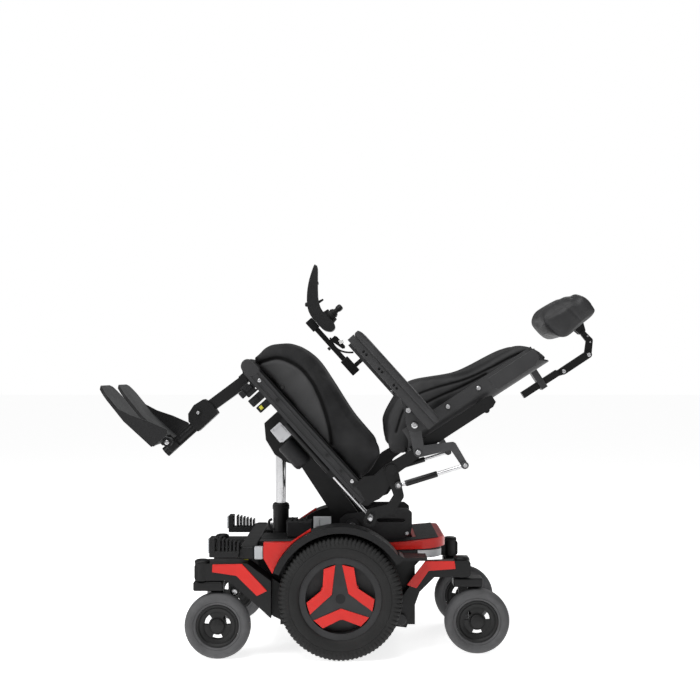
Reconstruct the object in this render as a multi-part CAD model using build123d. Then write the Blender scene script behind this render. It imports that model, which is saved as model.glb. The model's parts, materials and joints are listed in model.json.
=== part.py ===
from build123d import *
import math
import os

# ---------------------------------------------------------------- sizes (mm)
# Work frame while modelling: x = 0 at the drive axle, front of the chair at -x,
# z = 0 on the floor, y = 0 on the centre plane, user's left side at -y.
ROW_SHIFT_X = -30.0        # moves the finished parts so the origin is under the box centre

RUN = 0.05                 # radial clearance of a shaft that turns in its hole
GAP = 0.3                  # gap between seated pieces of one rigid body

# wheels
DRIVE_D = 350.0
DRIVE_W = 75.0
DRIVE_Y = 265.0            # drive wheel mid-plane
RIM_R = 115.0
HUB_R = 36.0
SHAFT_R = 14.0
CASTER_D = 187.0
CASTER_W = 50.0
CASTER_RIM_R = 60.0
FRONT_Y = 250.0            # front caster mid-plane
REAR_Y = 190.0             # rear caster mid-plane
TRAIL = 44.0
FRONT_SWIVEL_X = -391.0
REAR_SWIVEL_X = 348.0
AXLE_Z = DRIVE_D / 2
CASTER_Z = CASTER_D / 2
STEM_R = 12.0
FORK_LEG_T = 13.0
CASTER_PIN_R = 8.0
TAIL_R = 72.0              # plan radius of the base's rear corners

# base
SIDE_Y = 172.0             # outer face of the base side plates
PLATE_T = 12.0
DECK_Z = 285.0
DECK_T = 8.0
COVER_TOP_Z = 324.0
ARM_PIN_R = 10.0
FRONT_PIVOT = (-130.0, 130.0)
REAR_PIVOT = (172.0, 102.0)
ARM_IN_Y = 184.0           # inboard face of the suspension arm plates
ARM_OUT_Y = 220.0
ARM_TOP_Z = 270.0
MOTOR_R = 56.0
FENDER_IN_R = 190.0
FENDER_T = 12.0
FENDER_OUT_Y = 300.0
FENDER_IN_Y = 216.0
LEVER_X = -193.0           # brake release lever pin

# tilt linkage (x, z)
LIFT_PIVOT = (34.0, 354.0)
SEAT_PIVOT = (-138.0, 605.0)
SEAT_TILT = 48.0           # seat angle in the stored posture
BACK_LEAN = 9.0            # back reclined from square to the seat
LIFT_PIN_R = 12.0
SEAT_PIN_R = 10.0
BEAM_IN_Y = 46.0
BEAM_T = 24.0
COLUMN_FOOT = (-184.0, 215.0)
COLUMN_PIN_R = 8.0
HOUSING_R = 24.0
HOUSING_TOP_Z = 404.0
ROD_R = 15.6
ROD_EYE = (-8.5, -54.3)    # seat frame position of the rod's top pin
ROD_PIN_R = 6.0
ROD_EYE_PLAY = 2.0         # slack of the pin that closes the tilt linkage

# seat, in the seat frame: origin at the seat pivot, +x along the seat to the back
RAIL_Y = 226.0             # inner face of the seat rails
RAIL_T = 12.0
RAIL_LOW_Z = 31.0
RAIL_TOP_Z = 70.0
PAN_Z = 66.0
PAN_T = 8.0
KNEE = (-236.0, 8.0)
KNEE_PIN_R = 8.0
BACK_PIVOT = (241.6, 161.0)
BACK_PIN_R = 9.0
RECLINE_Z = 24.0
RECLINE_Y = 216.0
RECLINE_PIN_X = 306.0
RECLINE_R = 6.0

# back, in the back frame: origin at the back pivot, +z up along the back
BACK_PLATE_Y = 246.0
BACK_PLATE_T = 8.0
SHELL_Y = 222.0
SHELL_T = 5.0
SHELL_BACK_X = -8.0
ARMREST_PIVOT = (190.5, 293.4)   # seat frame
ARMREST_PIN_R = 8.0
ARMREST_Y = 300.0
HEAD_J1 = (55.9, 598.5)
HEAD_J2 = (55.1, 689.6)
HEAD_J3 = (-12.0, 712.0)
HEAD_PIN_R = 5.0

# leg
TUBE_R = 16.0
LEG_X = -236.0
FOOT_PIVOT = (-252.0, -289.0)
FOOT_PIN_R = 6.0
TOE_R = 66.0               # plan rounding of a footplate's toe corners

# joystick, seat frame
STICK = (-224.0, 338.0)
STICK_Y = 297.0


# ---------------------------------------------------------------- helpers
def slab(points, y0, y1):
    """Polygon in x and z, as thick as y0 to y1."""
    face = Plane.XZ * Polygon(*points, align=None)
    away = -1 if face.faces()[0].normal_at().Y > 0 else 1
    return Pos(0, y1, 0) * extrude(face, amount=away * (y1 - y0))


def block(x0, x1, y0, y1, z0, z1, r=0.0):
    """Box between two corners, with all its edges rounded by r."""
    body = Pos((x0 + x1) / 2, (y0 + y1) / 2, (z0 + z1) / 2) * Box(x1 - x0, y1 - y0, z1 - z0)
    if r > 0:
        body = fillet(body.edges(), r)
    return body


def drum(r, at, y0, y1):
    """Cylinder along y at an (x, z) place."""
    return Pos(at[0], (y0 + y1) / 2, at[1]) * Rot(90, 0, 0) * Cylinder(r, y1 - y0)


def post(r, x, y, z0, z1):
    """Cylinder along z."""
    return Pos(x, y, (z0 + z1) / 2) * Cylinder(r, z1 - z0)


def rod(p, q, r):
    """Cylinder between two points."""
    span = Vector(*q) - Vector(*p)
    return Part(Solid.make_cylinder(r, span.length, Plane(origin=p, z_dir=span)).wrapped)


def strap(points, y0, y1):
    """Rounded link through circles given as (x, z, radius), as thick as y0 to y1."""
    body = None
    for x, z, r in points:
        piece = drum(r, (x, z), y0, y1)
        body = piece if body is None else body + piece
    for (xa, za, ra), (xb, zb, rb) in zip(points, points[1:]):
        d = math.hypot(xb - xa, zb - za)
        base = math.atan2(zb - za, xb - xa)
        turn = math.acos((ra - rb) / d)
        quad = []
        for x, z, r, s in ((xa, za, ra, 1), (xb, zb, rb, 1), (xb, zb, rb, -1), (xa, za, ra, -1)):
            quad.append((x + r * math.cos(base + s * turn), z + r * math.sin(base + s * turn)))
        body += slab(quad, y0, y1)
    return body


def both(shape):
    """A left-hand piece together with its mirror image."""
    return shape + shape.mirror(Plane.XZ)


def ring(profile):
    """Solid turned about the y axis from (radius, y) points."""
    return revolve(Polygon(*profile, align=None), axis=Axis.Y)


def in_seat(shape):
    """Seat frame to work frame."""
    return Pos(SEAT_PIVOT[0], 0, SEAT_PIVOT[1]) * Rot(0, SEAT_TILT, 0) * shape


def in_back(shape):
    """Back frame to work frame."""
    local = Pos(BACK_PIVOT[0], 0, BACK_PIVOT[1]) * Rot(0, BACK_LEAN, 0) * shape
    return in_seat(local)


# ---------------------------------------------------------------- drive wheels
def drive_tyre():
    r = DRIVE_D / 2
    w = DRIVE_W / 2
    profile = [(RIM_R + GAP, -w + 9), (RIM_R + 10, -w + 2), (r - 26, -w), (r - 12, -w + 2), (r - 4, -w + 7)]
    profile += [(r, -w + 17), (r, w - 17)]
    profile += [(r - 4, w - 7), (r - 12, w - 2), (r - 26, w), (RIM_R + 10, w - 2), (RIM_R + GAP, w - 9)]
    return Pos(0, -DRIVE_Y, AXLE_Z) * ring(profile)


def spoke_angles():
    return [93, 213, 333]


def star_at(angle, shape):
    return Rot(0, 90 - angle, 0) * shape


def drive_rim():
    body = ring([(98, -27), (RIM_R, -27), (RIM_R, 27), (98, 27)])
    body += ring([(20, 6), (100, 6), (100, 13), (20, 13)])
    body += ring([(SHAFT_R, -17), (HUB_R, -17), (HUB_R, 22), (SHAFT_R, 22)])
    for angle in spoke_angles():
        arm = slab([(-9, 100), (-22.5, 13), (0, 0), (22.5, 13), (9, 100)], -24, 8)
        body += star_at(angle, arm)
    body -= Rot(90, 0, 0) * Cylinder(SHAFT_R + RUN, 60)
    return Pos(0, -DRIVE_Y, AXLE_Z) * body


def wheel_trim():
    """Three chevron covers that fill the angles of the star."""
    body = None
    for angle in spoke_angles():
        cover = slab([(9.6 + GAP, 95), (22.9 + GAP, 13.6), (87.2, -39.2), (95.2, -6.4), (48.5, 28), (42.2, 85.6)],
                     -26, -18)
        cover += drum(8, (45, 26), -20, 6 - GAP)
        chevron = star_at(angle, cover)
        body = chevron if body is None else body + chevron
    return Pos(0, -DRIVE_Y, AXLE_Z) * body


def gearmotor():
    at = (0, AXLE_Z)
    body = drum(MOTOR_R, at, -222, -130)
    body += drum(MOTOR_R + 12, at, -180, -SIDE_Y - GAP)
    for y in (-216, -208, -200, -192):
        body += drum(MOTOR_R + 4, at, y - 2, y + 2)
    body += drum(SHAFT_R, at, -DRIVE_Y - 24, -220)
    return body


# ---------------------------------------------------------------- casters
def fork(plane_y, swivel_x):
    """Single-sided fork, left hand: the leg is on the inboard side of the wheel."""
    leg_y = plane_y + CASTER_W / 2 + 3
    axle_x = swivel_x + TRAIL
    top = CASTER_D + 5
    crown = block(swivel_x - 24, axle_x + 16, plane_y - 18, leg_y + FORK_LEG_T, top, top + 26, 5)
    leg = strap([(axle_x, CASTER_Z, 20), (axle_x - 6, top + 4, 17)], leg_y, leg_y + FORK_LEG_T)
    body = crown + leg
    body += post(STEM_R, swivel_x, plane_y, top + 20, ARM_TOP_Z - 12)
    body += drum(CASTER_PIN_R, (axle_x, CASTER_Z), plane_y - 16, leg_y + 4)
    return body


def caster_wheel(plane_y, swivel_x):
    r = CASTER_D / 2
    w = CASTER_W / 2
    tyre = ring([(CASTER_RIM_R + GAP, -w + 6), (r - 20, -w), (r - 8, -w + 5), (r - 2, -w + 13), (r, -w + 20),
                 (r, w - 20), (r - 2, w - 13), (r - 8, w - 5), (r - 20, w), (CASTER_RIM_R + GAP, w - 6)])
    hub = ring([(48, -18), (CASTER_RIM_R, -18), (CASTER_RIM_R, 18), (48, 18)])
    hub += ring([(6, -18), (20, -18), (20, 18), (6, 18)])
    hub += ring([(16, -4), (50, -4), (50, 4), (16, 4)])
    for angle in (30, 150, 270):
        hub -= Rot(0, -angle, 0) * Pos(34, 0, 0) * Rot(90, 0, 0) * Cylinder(11, 30)
    hub -= Rot(90, 0, 0) * Cylinder(CASTER_PIN_R + RUN, 80)
    place = Pos(swivel_x + TRAIL, plane_y, CASTER_Z)
    return place * (tyre + hub)


# ---------------------------------------------------------------- suspension arms
def arm_front():
    """Left front arm: an inner plate beside the drive wheel and a wide nose over the caster."""
    x0 = FRONT_SWIVEL_X - 20
    outline = [(x0, 222), (x0, ARM_TOP_Z), (-262, ARM_TOP_Z), (-112, 160), (-104, 118), (-130, 95), (-160, 96),
               (-192, 112), (-233, 150), (-316, 222)]
    body = slab(outline, -ARM_OUT_Y, -ARM_IN_Y)
    nose = [(x0, 222), (x0, ARM_TOP_Z), (-262, ARM_TOP_Z), (-196, 221), (-196, 116), (-233, 150), (-316, 222)]
    body += slab(nose, -268, -ARM_OUT_Y)
    body = fillet(body.edges().filter_by(Axis.Y).filter_by_position(Axis.X, x0 - 1, x0 + 1), 10)
    body += post(21, FRONT_SWIVEL_X, -FRONT_Y, 221, ARM_TOP_Z)
    body -= post(STEM_R + RUN, FRONT_SWIVEL_X, -FRONT_Y, 210, ARM_TOP_Z - 8)
    body -= drum(ARM_PIN_R + RUN, FRONT_PIVOT, -300, -100)
    return body


def arm_rear():
    """Left rear arm."""
    x1 = REAR_SWIVEL_X + 24
    outline = [(x1, 222), (x1, ARM_TOP_Z), (247, ARM_TOP_Z - 4), (165, 150), (146, 104), (156, 82), (188, 78),
               (198, 104), (226, 180), (268, 222)]
    body = slab(outline, -214, -ARM_IN_Y + 8)
    body = fillet(body.edges().filter_by(Axis.Y).filter_by_position(Axis.X, x1 - 1, x1 + 1), 10)
    body += post(21, REAR_SWIVEL_X, -REAR_Y, 221, ARM_TOP_Z)
    body -= post(STEM_R + RUN, REAR_SWIVEL_X, -REAR_Y, 210, ARM_TOP_Z - 8)
    body -= drum(ARM_PIN_R + RUN, REAR_PIVOT, -300, -100)
    return body


# ---------------------------------------------------------------- base
def base_frame():
    inner = SIDE_Y - PLATE_T
    side = block(-152, 215, -SIDE_Y, -inner, 78, DECK_Z + 1)
    side -= drum(MOTOR_R + 1, (0, AXLE_Z), -200, -100)
    side += drum(ARM_PIN_R, FRONT_PIVOT, -224, -inner)
    side += drum(ARM_PIN_R, REAR_PIVOT, -218, -inner)
    body = both(side)
    body += block(-152, 215, -inner, inner, 78, 84)
    body += block(209, 215, -inner, inner, 84, DECK_Z + 1)
    body += block(-152, 215, -SIDE_Y, SIDE_Y, DECK_Z, DECK_Z + DECK_T)
    tail = rounded_tail(215 + GAP, 296, 168, TAIL_R - 10, DECK_Z - 14, DECK_Z + 23)
    for y in (-40, 40):
        tail -= Pos(286, y, DECK_Z + 14) * Rot(0, 90, 0) * Cylinder(4, 30)
    return body + tail + column_well() + front_bumper()


def column_well():
    """Separate plates round the tilt column, so that the way down past the foot stays open."""
    inner = SIDE_Y - PLATE_T
    seat_z = DECK_Z + 1
    floor = block(-246, -169, -92, 92, 110, 118) + both(block(-206, -162, -42, -32, 117, 230))
    floor += drum(COLUMN_PIN_R, COLUMN_FOOT, -44, 44)
    wall = block(-238 + GAP, -169, -92, -84, 118 + GAP, seat_z)
    cross = block(-175, -169, -inner + GAP, -92 - GAP, 84 + GAP, DECK_Z)
    deck = block(-238 + GAP, -152 - GAP, -SIDE_Y, -31, seat_z + GAP, DECK_Z + DECK_T)
    cheek = block(-175, -152 - GAP, -SIDE_Y, -inner, 78, seat_z)
    cheek += block(-208, -152 - GAP, -213, -inner, 264, 272) + block(-208, LEVER_X + 11, -234, -212, 264, 272)
    cheek += post(4, LEVER_X, -224, 270, 284)
    well = floor
    for plate in (wall, cross, deck, cheek):
        well = well + plate + mirrored(plate)
    return well


def front_bumper():
    bar = block(-285, -239, -252, 252, DECK_Z + 4, DECK_Z + 31, 6)
    bar += block(-246, -238, -92, 92, 118 + GAP, DECK_Z + DECK_T)
    return bar + block(-252, -238, -92, 92, DECK_Z - 10, DECK_Z + 12)


def battery_pack():
    two = block(-158, 17, -122, 122, 84 + GAP, 270, 6) + block(22, 197, -122, 122, 84 + GAP, 270, 6)
    two += both(block(-120, -20, -90, -60, 268, 276)) + both(block(60, 160, -90, -60, 268, 276))
    return two


def base_cover():
    body = block(-236, 102, -168, 168, DECK_Z + DECK_T + GAP, COVER_TOP_Z)
    body = fillet(body.edges().group_by(Axis.Z)[-1], 8)
    body -= block(-226, 92, -158, 158, DECK_Z, COVER_TOP_Z - 6)
    body -= block(-243, -150, -34, 34, DECK_Z, COVER_TOP_Z + 5)
    body -= both(block(-10, 110, -92, -72, DECK_Z, COVER_TOP_Z + 5))
    body -= block(-8, 110, -80, 80, DECK_Z, COVER_TOP_Z + 5)
    return body


def rounded_tail(x0, x1, half_y, r, z0, z1):
    """Block whose two rear corners are rounded in plan."""
    body = block(x0, x1, -half_y, half_y, z0, z1)
    return fillet(body.edges().filter_by(Axis.Z).filter_by_position(Axis.X, x1 - 1, x1 + 1), r)


def rear_cover():
    """Low lid over the rear box, rounded at the tail, open in the middle for the mounting plates."""
    t = 7
    outer = slab([(104, 293.4), (104, 311), (180, 316), (300, 330), (306, 324), (306, 302), (250, 298)], -178, 178)
    inner = slab([(114, 280), (114, 304), (180, 309), (299, 322), (299, 280)], -178 + t, 178 - t)
    body = outer & rounded_tail(60, 306, 178, TAIL_R, 280, 400)
    body -= inner & rounded_tail(60, 306 - t, 178 - t, TAIL_R - t, 270, 400)
    body -= block(100, 212, -96, 96, 280, 400)
    body -= block(90, 216, -180, 180, 280, DECK_Z + DECK_T + GAP)
    return body


def side_panels():
    """Red front side panels that follow the wheel arch."""
    plate = slab([(-217, 328), (-141, 328), (-84, 366), (-84, 240), (-192, 240), (-217, 283)], -262, -240)
    plate -= drum(FENDER_IN_R + FENDER_T + 1, (0, AXLE_Z), -300, -200)
    link = block(-236, -212, -258, -242, 292, 312)
    lug = block(-237.7, -230, -250, -240, DECK_Z + 9, DECK_Z + 24)
    return both(plate + link + lug)


def fender():
    """Left wheel arch with an inner wall that bolts to the deck."""
    at = (0, AXLE_Z)
    out_r = FENDER_IN_R + FENDER_T
    band = drum(out_r, at, -FENDER_OUT_Y, -FENDER_IN_Y) - drum(FENDER_IN_R, at, -320, -200)
    keep = slab([(0, AXLE_Z), (-240, 270), (-240, 420), (240, 420), (240, 322)], -320, -200)
    band = band & keep
    lip = drum(out_r, at, -FENDER_OUT_Y, -FENDER_OUT_Y + 4) - drum(FENDER_IN_R - 6, at, -320, -200)
    band += lip & keep
    tail = slab([(156, 288), (166, 298), (178, 291), (242, 291), (242, 283), (172, 283)], -FENDER_OUT_Y, -FENDER_IN_Y)
    wall = drum(out_r, at, -FENDER_IN_Y - 0.5, -FENDER_IN_Y + 5) - block(-300, 300, -230, -200, -100, DECK_Z)
    wall -= block(-300, -148, -230, -200, 0, 400)
    flange = block(-140, 140, -FENDER_IN_Y, -SIDE_Y - GAP, DECK_Z, DECK_Z + 6)
    return band + tail + wall + flange


def power_module():
    one = block(-158, -84, -138, -80, COVER_TOP_Z + GAP, 372, 4)
    two = block(-82, -30, -138, -80, COVER_TOP_Z + GAP, 372, 4)
    for x in (-146, -132, -118, -104):
        one += block(x, x + 4, -134, -84, 370, 378)
    return one + two


def headlight():
    body = block(-369, -286, -274, -226, DECK_Z + 3, DECK_Z + 20, 3)
    body += block(-369, -352, -274, -226, DECK_Z + 10, 343, 3)
    for i in range(6):
        x = -343 + i * 10.5
        body += block(x, x + 5, -274, -226, DECK_Z + 12, 341 - i * 2.5)
    return body


def lenses():
    """Lamp lenses at the front and reflectors round the rear corners."""
    lens = block(-375, -369 - GAP, -FRONT_Y - 20, -FRONT_Y + 20, 300, 338, 2)
    r = TAIL_R - 10 + GAP
    cx = 296 - (TAIL_R - 10)
    cy = -168 + (TAIL_R - 10)
    curve = post(r + 4, cx, cy, 273, 293) - post(r, cx, cy, 260, 310)
    curve = curve & block(cx, cx + 60, cy - 100, cy - 20, 260, 310)
    reflector = curve + block(cx - 11, cx + 0.5, -172 - GAP, -168 - GAP, 273, 293)
    return both(lens + reflector)


def seat_mount_bracket():
    """Two plates on the deck that carry the lift arm pin; each has a long adjusting slot."""
    foot_z = DECK_Z + DECK_T + GAP
    outline = [(-2, foot_z), (-4, 372), (16, 388), (60, 392), (92, 404), (196, 404), (211, 392), (211, 350),
               (200, foot_z)]
    plate = slab(outline, -88, -76)
    plate = fillet(plate.edges().filter_by(Axis.Y), 6)
    plate -= strap([(112, 368, 6.5), (184, 368, 6.5)], -100, -60)
    plate += drum(LIFT_PIN_R, LIFT_PIVOT, -92, 0)
    plate += drum(20, LIFT_PIVOT, -96, -87)
    for x in (70, 196):
        plate += drum(7, (x, 330), -93, -87)
    body = both(plate)
    body += block(150, 190, -77, 77, 300, 312)
    return body


def brake_lever():
    """Left brake release lever; it swings inwards about a vertical pin."""
    body = block(-270, LEVER_X, -231, -217, 276.8, 280.5)
    body += post(9.5, LEVER_X, -224, 275, 280.5)
    body += post(7, -270, -224, 276.8, 280.5)
    body -= post(4 + RUN, LEVER_X, -224, 260, 300)
    return body


# ---------------------------------------------------------------- tilt linkage
def lift_arm():
    ox, oz = LIFT_PIVOT
    px, pz = SEAT_PIVOT
    beam = strap([(ox, oz, 34), (px, pz, 27)], -BEAM_IN_Y - BEAM_T, -BEAM_IN_Y)
    body = both(beam)
    body += drum(24, LIFT_PIVOT, -BEAM_IN_Y - 1, BEAM_IN_Y + 1)
    cross = (ox + 0.42 * (px - ox), oz + 0.42 * (pz - oz))
    body += drum(13, cross, -BEAM_IN_Y - 1, BEAM_IN_Y + 1)
    body -= drum(LIFT_PIN_R + RUN, LIFT_PIVOT, -120, 120)
    body -= drum(SEAT_PIN_R + RUN, SEAT_PIVOT, -120, 120)
    return body


def actuator_housing():
    x, z = COLUMN_FOOT
    body = post(HOUSING_R, x, 0, z + 6, HOUSING_TOP_Z)
    body += post(HOUSING_R + 2, x, 0, HOUSING_TOP_Z - 12, HOUSING_TOP_Z)
    body += drum(19, COLUMN_FOOT, -28, 28)
    body -= post(ROD_R + 0.06, x, 0, z + 18, HOUSING_TOP_Z + 1)
    body -= drum(COLUMN_PIN_R + RUN, COLUMN_FOOT, -60, 60)
    return body


def rod_eye_place():
    a = math.radians(SEAT_TILT)
    x = SEAT_PIVOT[0] + ROD_EYE[0] * math.cos(a) + ROD_EYE[1] * math.sin(a)
    z = SEAT_PIVOT[1] - ROD_EYE[0] * math.sin(a) + ROD_EYE[1] * math.cos(a)
    return x, z


def actuator_rod():
    x, z = rod_eye_place()
    body = post(ROD_R, COLUMN_FOOT[0], 0, HOUSING_TOP_Z - 52, z - 8)
    body += drum(17, (x, z), -20, 20)
    body -= drum(ROD_PIN_R + ROD_EYE_PLAY, (x, z), -60, 60)
    return body


# ---------------------------------------------------------------- seat
def seat_frame():
    low, top = RAIL_LOW_Z, RAIL_TOP_Z
    rail = slab([(-250, low + 4), (-244, low), (262, low), (276, low + 12), (276, 80), (250, 82), (236, top),
                 (-246, top)], -RAIL_Y - RAIL_T, -RAIL_Y)
    for x in (-120, 90, 150, 205):
        rail -= drum(4.2, (x, 53), -260, -200)
    rail += slab([(205, 60), (270, 45), (282, 80), (282, 104), (266, 142), (262, 178), (232, 180), (222, 160),
                  (222, 112), (205, 90)], -244, -234)
    rail += drum(BACK_PIN_R, BACK_PIVOT, -262, -234)
    rail += drum(15, BACK_PIVOT, -262, -255)
    tube = rod((-72, -RECLINE_Y, RECLINE_Z), (150, -RECLINE_Y, RECLINE_Z), 9.5)
    tube += block(-72, -52, -RAIL_Y - 1, -RECLINE_Y + 10, RECLINE_Z - 9, RECLINE_Z + 17)
    tube += block(128, 150, -RAIL_Y - 1, -RECLINE_Y + 10, RECLINE_Z - 9, RECLINE_Z + 17)
    tube -= rod((-80, -RECLINE_Y, RECLINE_Z), (160, -RECLINE_Y, RECLINE_Z), RECLINE_R + 0.06)
    hanger = slab([(-100, 67), (-100, -36), (-60, -66), (-8, -76), (30, -66), (85, -36), (105, 10), (105, 67)], -42, -32)
    knee_lug = slab([(-256, 67), (-256, 0), (-246, -8), (-226, -8), (-212, 4), (-200, 67)], -43, -33)
    body = both(rail + tube + hanger + knee_lug)
    body += block(-248, 205, -RAIL_Y - 1, RAIL_Y + 1, PAN_Z, PAN_Z + PAN_T)
    body += block(-258, -248, -RAIL_Y - RAIL_T, RAIL_Y + RAIL_T, 40, PAN_Z + PAN_T)
    body += drum(11, (250, 54), -RAIL_Y - 1, RAIL_Y + 1)
    body += drum(SEAT_PIN_R, (0, 0), -74, 74)
    body += drum(ROD_PIN_R, ROD_EYE, -42, 42)
    body += drum(KNEE_PIN_R, KNEE, -46, 46)
    return in_seat(body)


def seat_cushion():
    low = PAN_Z + PAN_T + GAP
    side = [(-238, low), (-256, 88), (-270, 108), (-268, 130), (-256, 158), (-234, 184), (-194, 203), (-138, 210),
            (-63, 200), (19, 185), (70, 178), (134, 176), (205, 175), (213, 165), (213, 90), (206, low)]
    body = slab(side, -226, 226)
    ends = body.faces().sort_by(Axis.Y)
    body = chamfer(ends[0].edges() + ends[-1].edges(), 8)
    return in_seat(body)


def leg_actuator():
    gear = block(-84, -12, -200, -150, -38, 30, 8)
    motor = rod((-14, -175, -18), (74, -175, -18), 27)
    hang = block(-70, -30, -186, -164, 26, PAN_Z - GAP)
    plug = block(-214, -176, -196, -158, 18, PAN_Z - GAP, 4)
    return in_seat(gear + motor + hang + plug)


def recline_rods():
    body = None
    for s in (-1, 1):
        y = s * RECLINE_Y
        out = s * (BACK_PLATE_Y + BACK_PLATE_T + 4)
        one = rod((56, y, RECLINE_Z), (RECLINE_PIN_X, y, RECLINE_Z), RECLINE_R)
        one += drum(8, (RECLINE_PIN_X, RECLINE_Z), min(y - 6, y + 6), max(y - 6, y + 6))
        one += drum(5, (RECLINE_PIN_X, RECLINE_Z), min(y, out), max(y, out))
        body = one if body is None else body + one
    return in_seat(body)


# ---------------------------------------------------------------- legrest
def leg_upper_tube():
    kx, kz = KNEE
    body = drum(14, KNEE, -30, 30)
    body += rod((kx, 0, kz), (-250, 0, -136), 15)
    body += slab([(kx - 19, kz - 12), (-266, -124), (-232, -134), (kx + 17, kz - 22)], -17, 17)
    cover = slab([(-258, -205), (-276, -190), (-284, -160), (-278, -126), (-250, -116), (-216, -122), (-215, -205)],
                 -25, 25)
    cover = fillet(cover.edges().filter_by(Axis.Y), 4)
    body += cover
    body += drum(9, (-258, -165), -28, 28)
    body -= post(TUBE_R + 0.06, LEG_X, 0, -220, -138)
    body -= drum(KNEE_PIN_R + RUN, KNEE, -60, 60)
    return in_seat(body)


def leg_lower_tube():
    body = post(TUBE_R, LEG_X, 0, -322, -142)
    body += block(-268, -221, -23, 23, -306, -272, 3)
    body += drum(FOOT_PIN_R, FOOT_PIVOT, -66, 66)
    return in_seat(body)


def footplate():
    """Left footplate: a flat tread, an outer side wall and a hinge eye."""
    tread = slab([(-494, -302), (-486, -309), (-368, -316), (-262, -306), (-262, -296), (-368, -306), (-486, -300)],
                 -220, -27)
    wall = slab([(-490, -304), (-414, -306), (-370, -290), (-320, -262), (-270, -240), (-258, -248), (-258, -300),
                 (-368, -316), (-486, -309)], -222, -214)
    eye = drum(14, FOOT_PIVOT, -60, -27)
    web = slab([(-300, -310), (-300, -298), (-262, -280), (-246, -296), (-254, -306)], -60, -27)
    toe = block(-500, -240, -223, -26, -340, -200)
    toe = fillet(toe.edges().filter_by(Axis.Z).filter_by_position(Axis.X, -501, -499), TOE_R)
    body = (tread + wall) & toe
    body += eye + web
    body -= drum(FOOT_PIN_R + RUN, FOOT_PIVOT, -80, 0)
    return in_seat(body)


# ---------------------------------------------------------------- back
def slot_point(r):
    """Point on the back lever's slot line, r from the back pivot."""
    vx = RECLINE_PIN_X - BACK_PIVOT[0]
    vz = RECLINE_Z - BACK_PIVOT[1]
    a = math.radians(-BACK_LEAN)
    bx = vx * math.cos(a) + vz * math.sin(a)
    bz = -vx * math.sin(a) + vz * math.cos(a)
    d = math.hypot(bx, bz)
    return bx * r / d, bz * r / d


def back_arms():
    y0, y1 = -BACK_PLATE_Y - BACK_PLATE_T, -BACK_PLATE_Y
    a = slot_point(136.5)
    b = slot_point(158.5)
    lever = strap([(b[0], b[1], 17), (a[0], a[1], 17), (92, -62, 14), (74, -22, 14), (0, 0, 19), (-0.5, 90, 15)], y0, y1)
    lever -= strap([(b[0], b[1], 8), (a[0], a[1], 8)], -300, -200)
    lever -= drum(BACK_PIN_R + RUN, (0, 0), -300, -200)
    rail = slab([(-24, 78), (10, 78), (10, 340), (2, 354), (-20, 354), (-24, 340)], -236, -226)
    rail += drum(11, (-0.5, 90), -BACK_PLATE_Y - 1, -235)
    side = lever + rail
    side += drum(8, (-0.5, 90), -267, y0 + 1)
    side += drum(5, (46.5, -7), -276, y0 + 1)
    body = both(side)
    body += drum(9, (12, 128), -227, 227) + drum(9, (8, 320), -227, 227)
    for z in (128, 320):
        body += both(block(SHELL_BACK_X + GAP, 8, -150, -100, z - 18, z + 18))
    return in_back(body)


def back_brackets():
    """Grey side brackets, tie rods and the headrest clamp."""
    dx = ARMREST_PIVOT[0] - BACK_PIVOT[0]
    dz = ARMREST_PIVOT[1] - BACK_PIVOT[1]
    a = math.radians(-BACK_LEAN)
    ax = dx * math.cos(a) + dz * math.sin(a)
    az = -dx * math.sin(a) + dz * math.cos(a)
    plate = strap([(ax, az, 17), (-0.5, 94, 16), (37, 182, 11), (101, 181, 9)], -264, -256)
    plate -= drum(8 + GAP, (-0.5, 90), -300, -200)
    plate += drum(ARMREST_PIN_R, (ax, az), -280, -257)
    plate += drum(5, (101, 181), -276, -263)
    tie = strap([(46.5, -7, 10), (46.6, -6, 10)], -275, -267) + strap([(101, 181, 10), (101, 180, 10)], -275, -267)
    tie += rod((49, -271, 1), (99, -271, 173), 4.5)
    tie += rod((52, -271, 12), (78, -271, 102), 8)
    tie -= drum(5 + GAP, (46.5, -7), -300, -200)
    tie -= drum(5 + GAP, (101, 181), -300, -200)
    clamp = block(SHELL_BACK_X + GAP, 3, -30, 30, 462, 534, 3)
    clamp += block(0, 68, -20, 20, 512, 532)
    clamp -= block(40.9, 61.1, -12.1, 12.1, 480, 560)
    return in_back(both(plate + tie) + clamp)


def back_shell():
    outer = block(-75, SHELL_BACK_X, -SHELL_Y, SHELL_Y, 60, 552)
    outer = fillet(outer.edges().filter_by(Axis.Z).group_by(Axis.X)[-1], 40)
    inner_y = SHELL_Y - SHELL_T
    inner = block(-90, SHELL_BACK_X - SHELL_T, -inner_y, inner_y, 40, 600)
    inner = fillet(inner.edges().filter_by(Axis.Z).group_by(Axis.X)[-1], 35)
    body = outer - inner
    side = Plane.YZ * Pos(0, 306) * RectangleRounded(2 * SHELL_Y, 492, 48)
    body = body & (Pos(-120, 0, 0) * extrude(side, amount=160))
    return in_back(body)


def back_cushion():
    back_x = SHELL_BACK_X - SHELL_T - GAP
    side = [(back_x, 48), (-96, 48), (-124, 62), (-148, 104), (-168, 150), (-172, 178), (-164, 210), (-140, 262),
            (-114, 322), (-103, 376), (-94, 461), (-84, 514), (-66, 545), (-46, 557), (-28, 557), (back_x, 542)]
    body = slab(side, -210, 210)
    body = fillet(body.edges().filter_by(Axis.Z).group_by(Axis.X)[-1], 42)
    return in_back(body)


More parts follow.
